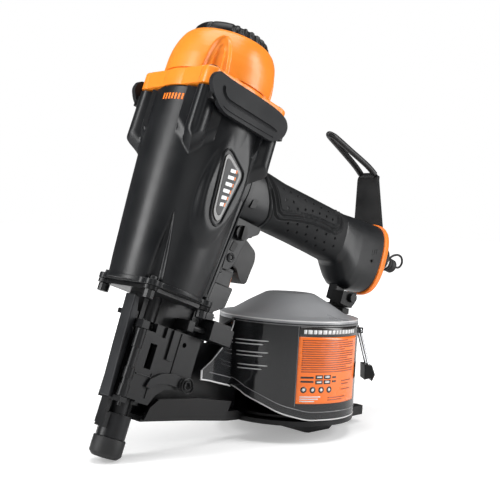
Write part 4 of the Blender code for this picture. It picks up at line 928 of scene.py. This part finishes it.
# ------------------------------------------------------------------ stage, camera, light
fm = bpy.data.materials.new("floor_pale")
fm.use_nodes = True
fb = fm.node_tree.nodes["Principled BSDF"]
fb.inputs["Base Color"].default_value = (0.86, 0.86, 0.86, 1)
fb.inputs["Roughness"].default_value = 0.9
fb.inputs["Specular IOR Level"].default_value = 0.1
fn = fm.node_tree.nodes
fl = fm.node_tree.links
ftc = fn.new("ShaderNodeTexCoord")
fln = fn.new("ShaderNodeVectorMath")
fln.operation = "LENGTH"
fl.new(ftc.outputs["Object"], fln.inputs[0])
fmr = fn.new("ShaderNodeMapRange")
fmr.interpolation_type = "SMOOTHSTEP"
fmr.inputs["From Min"].default_value = 0.16
fmr.inputs["From Max"].default_value = 0.62
fmr.inputs["To Min"].default_value = 0.30
fmr.inputs["To Max"].default_value = 1.05
fl.new(fln.outputs["Value"], fmr.inputs["Value"])
fem = fn.new("ShaderNodeEmission")
fem.inputs["Color"].default_value = (1, 1, 1, 1)
fl.new(fmr.outputs["Result"], fem.inputs["Strength"])
flp = fn.new("ShaderNodeLightPath")
fmix = fn.new("ShaderNodeMixShader")
fadd = fn.new("ShaderNodeAddShader")
fl.new(fb.outputs["BSDF"], fadd.inputs[0])
fl.new(fem.outputs["Emission"], fadd.inputs[1])
fl.new(flp.outputs["Is Camera Ray"], fmix.inputs["Fac"])
fl.new(fb.outputs["BSDF"], fmix.inputs[1])
fl.new(fadd.outputs["Shader"], fmix.inputs[2])
fl.new(fmix.outputs["Shader"], fn["Material Output"].inputs["Surface"])
me = bpy.data.meshes.new("floor")
me.from_pydata([(-6, -6, 0), (6, -6, 0), (6, 6, 0), (-6, 6, 0)], [], [(0, 1, 2, 3)])
me.materials.append(fm)
floor = bpy.data.objects.new("floor", me)
scene.collection.objects.link(floor)
floor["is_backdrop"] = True

C = Vector((-390.1, -514.6, 48.96))
T = Vector((45.88, -34.78, 170.05))
roll = math.radians(16.18)
f = (T - C).normalized()
r = f.cross(Vector((0, 0, 1))).normalized()
u = r.cross(f)
right = math.cos(roll) * r + math.sin(roll) * u
upv = -math.sin(roll) * r + math.cos(roll) * u
R3 = Matrix.Rotation(LEAN, 3, "Y")
right, upv, back = R3 @ right, R3 @ upv, R3 @ (-f)
pos = ROW @ C
cam = bpy.data.cameras.new("cam")
cam.lens = 64.68
cam.sensor_width = 36
cam.clip_start = 0.01
cam.clip_end = 50
co = bpy.data.objects.new("cam", cam)
scene.collection.objects.link(co)
co.matrix_world = Matrix(((right.x, upv.x, back.x, pos.x), (right.y, upv.y, back.y, pos.y), (right.z, upv.z, back.z, pos.z), (0, 0, 0, 1)))
scene.camera = co
mid = ROW @ T


def lamp(name, a, b, c, size, sy, power, aim=None):
    L = bpy.data.lights.new(name, "AREA")
    L.shape = "RECTANGLE"
    L.size, L.size_y = size, sy
    L.energy = power
    o = bpy.data.objects.new(name, L)
    scene.collection.objects.link(o)
    o.location = mid + a * right + b * Vector((0, 0, 1)) + c * back
    d = (aim or mid) - o.location
    o.rotation_euler = d.to_track_quat("-Z", "Y").to_euler()
    return o


lamp("key_left", -0.95, 0.30, 0.42, 0.34, 1.3, 14)
lamp("fill_right", 1.05, 0.25, 0.10, 0.40, 1.1, 11)
lamp("top", 0.0, 1.15, 0.1, 1.1, 0.8, 13)
lamp("front_low", 0.25, 0.5, 1.5, 0.9, 0.9, 3.0)
w = bpy.data.worlds.new("studio")
scene.world = w
w.use_nodes = True
nt = w.node_tree
bg = nt.nodes["Background"]
bg.inputs["Color"].default_value = (1, 1, 1, 1)
bg.inputs["Strength"].default_value = 0.09
bg2 = nt.nodes.new("ShaderNodeBackground")
bg2.inputs["Color"].default_value = (1, 1, 1, 1)
bg2.inputs["Strength"].default_value = 1.0
lp = nt.nodes.new("ShaderNodeLightPath")
mx = nt.nodes.new("ShaderNodeMixShader")
nt.links.new(lp.outputs["Is Camera Ray"], mx.inputs["Fac"])
nt.links.new(bg.outputs["Background"], mx.inputs[1])
nt.links.new(bg2.outputs["Background"], mx.inputs[2])
nt.links.new(mx.outputs["Shader"], nt.nodes["World Output"].inputs["Surface"])

lo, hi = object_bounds()
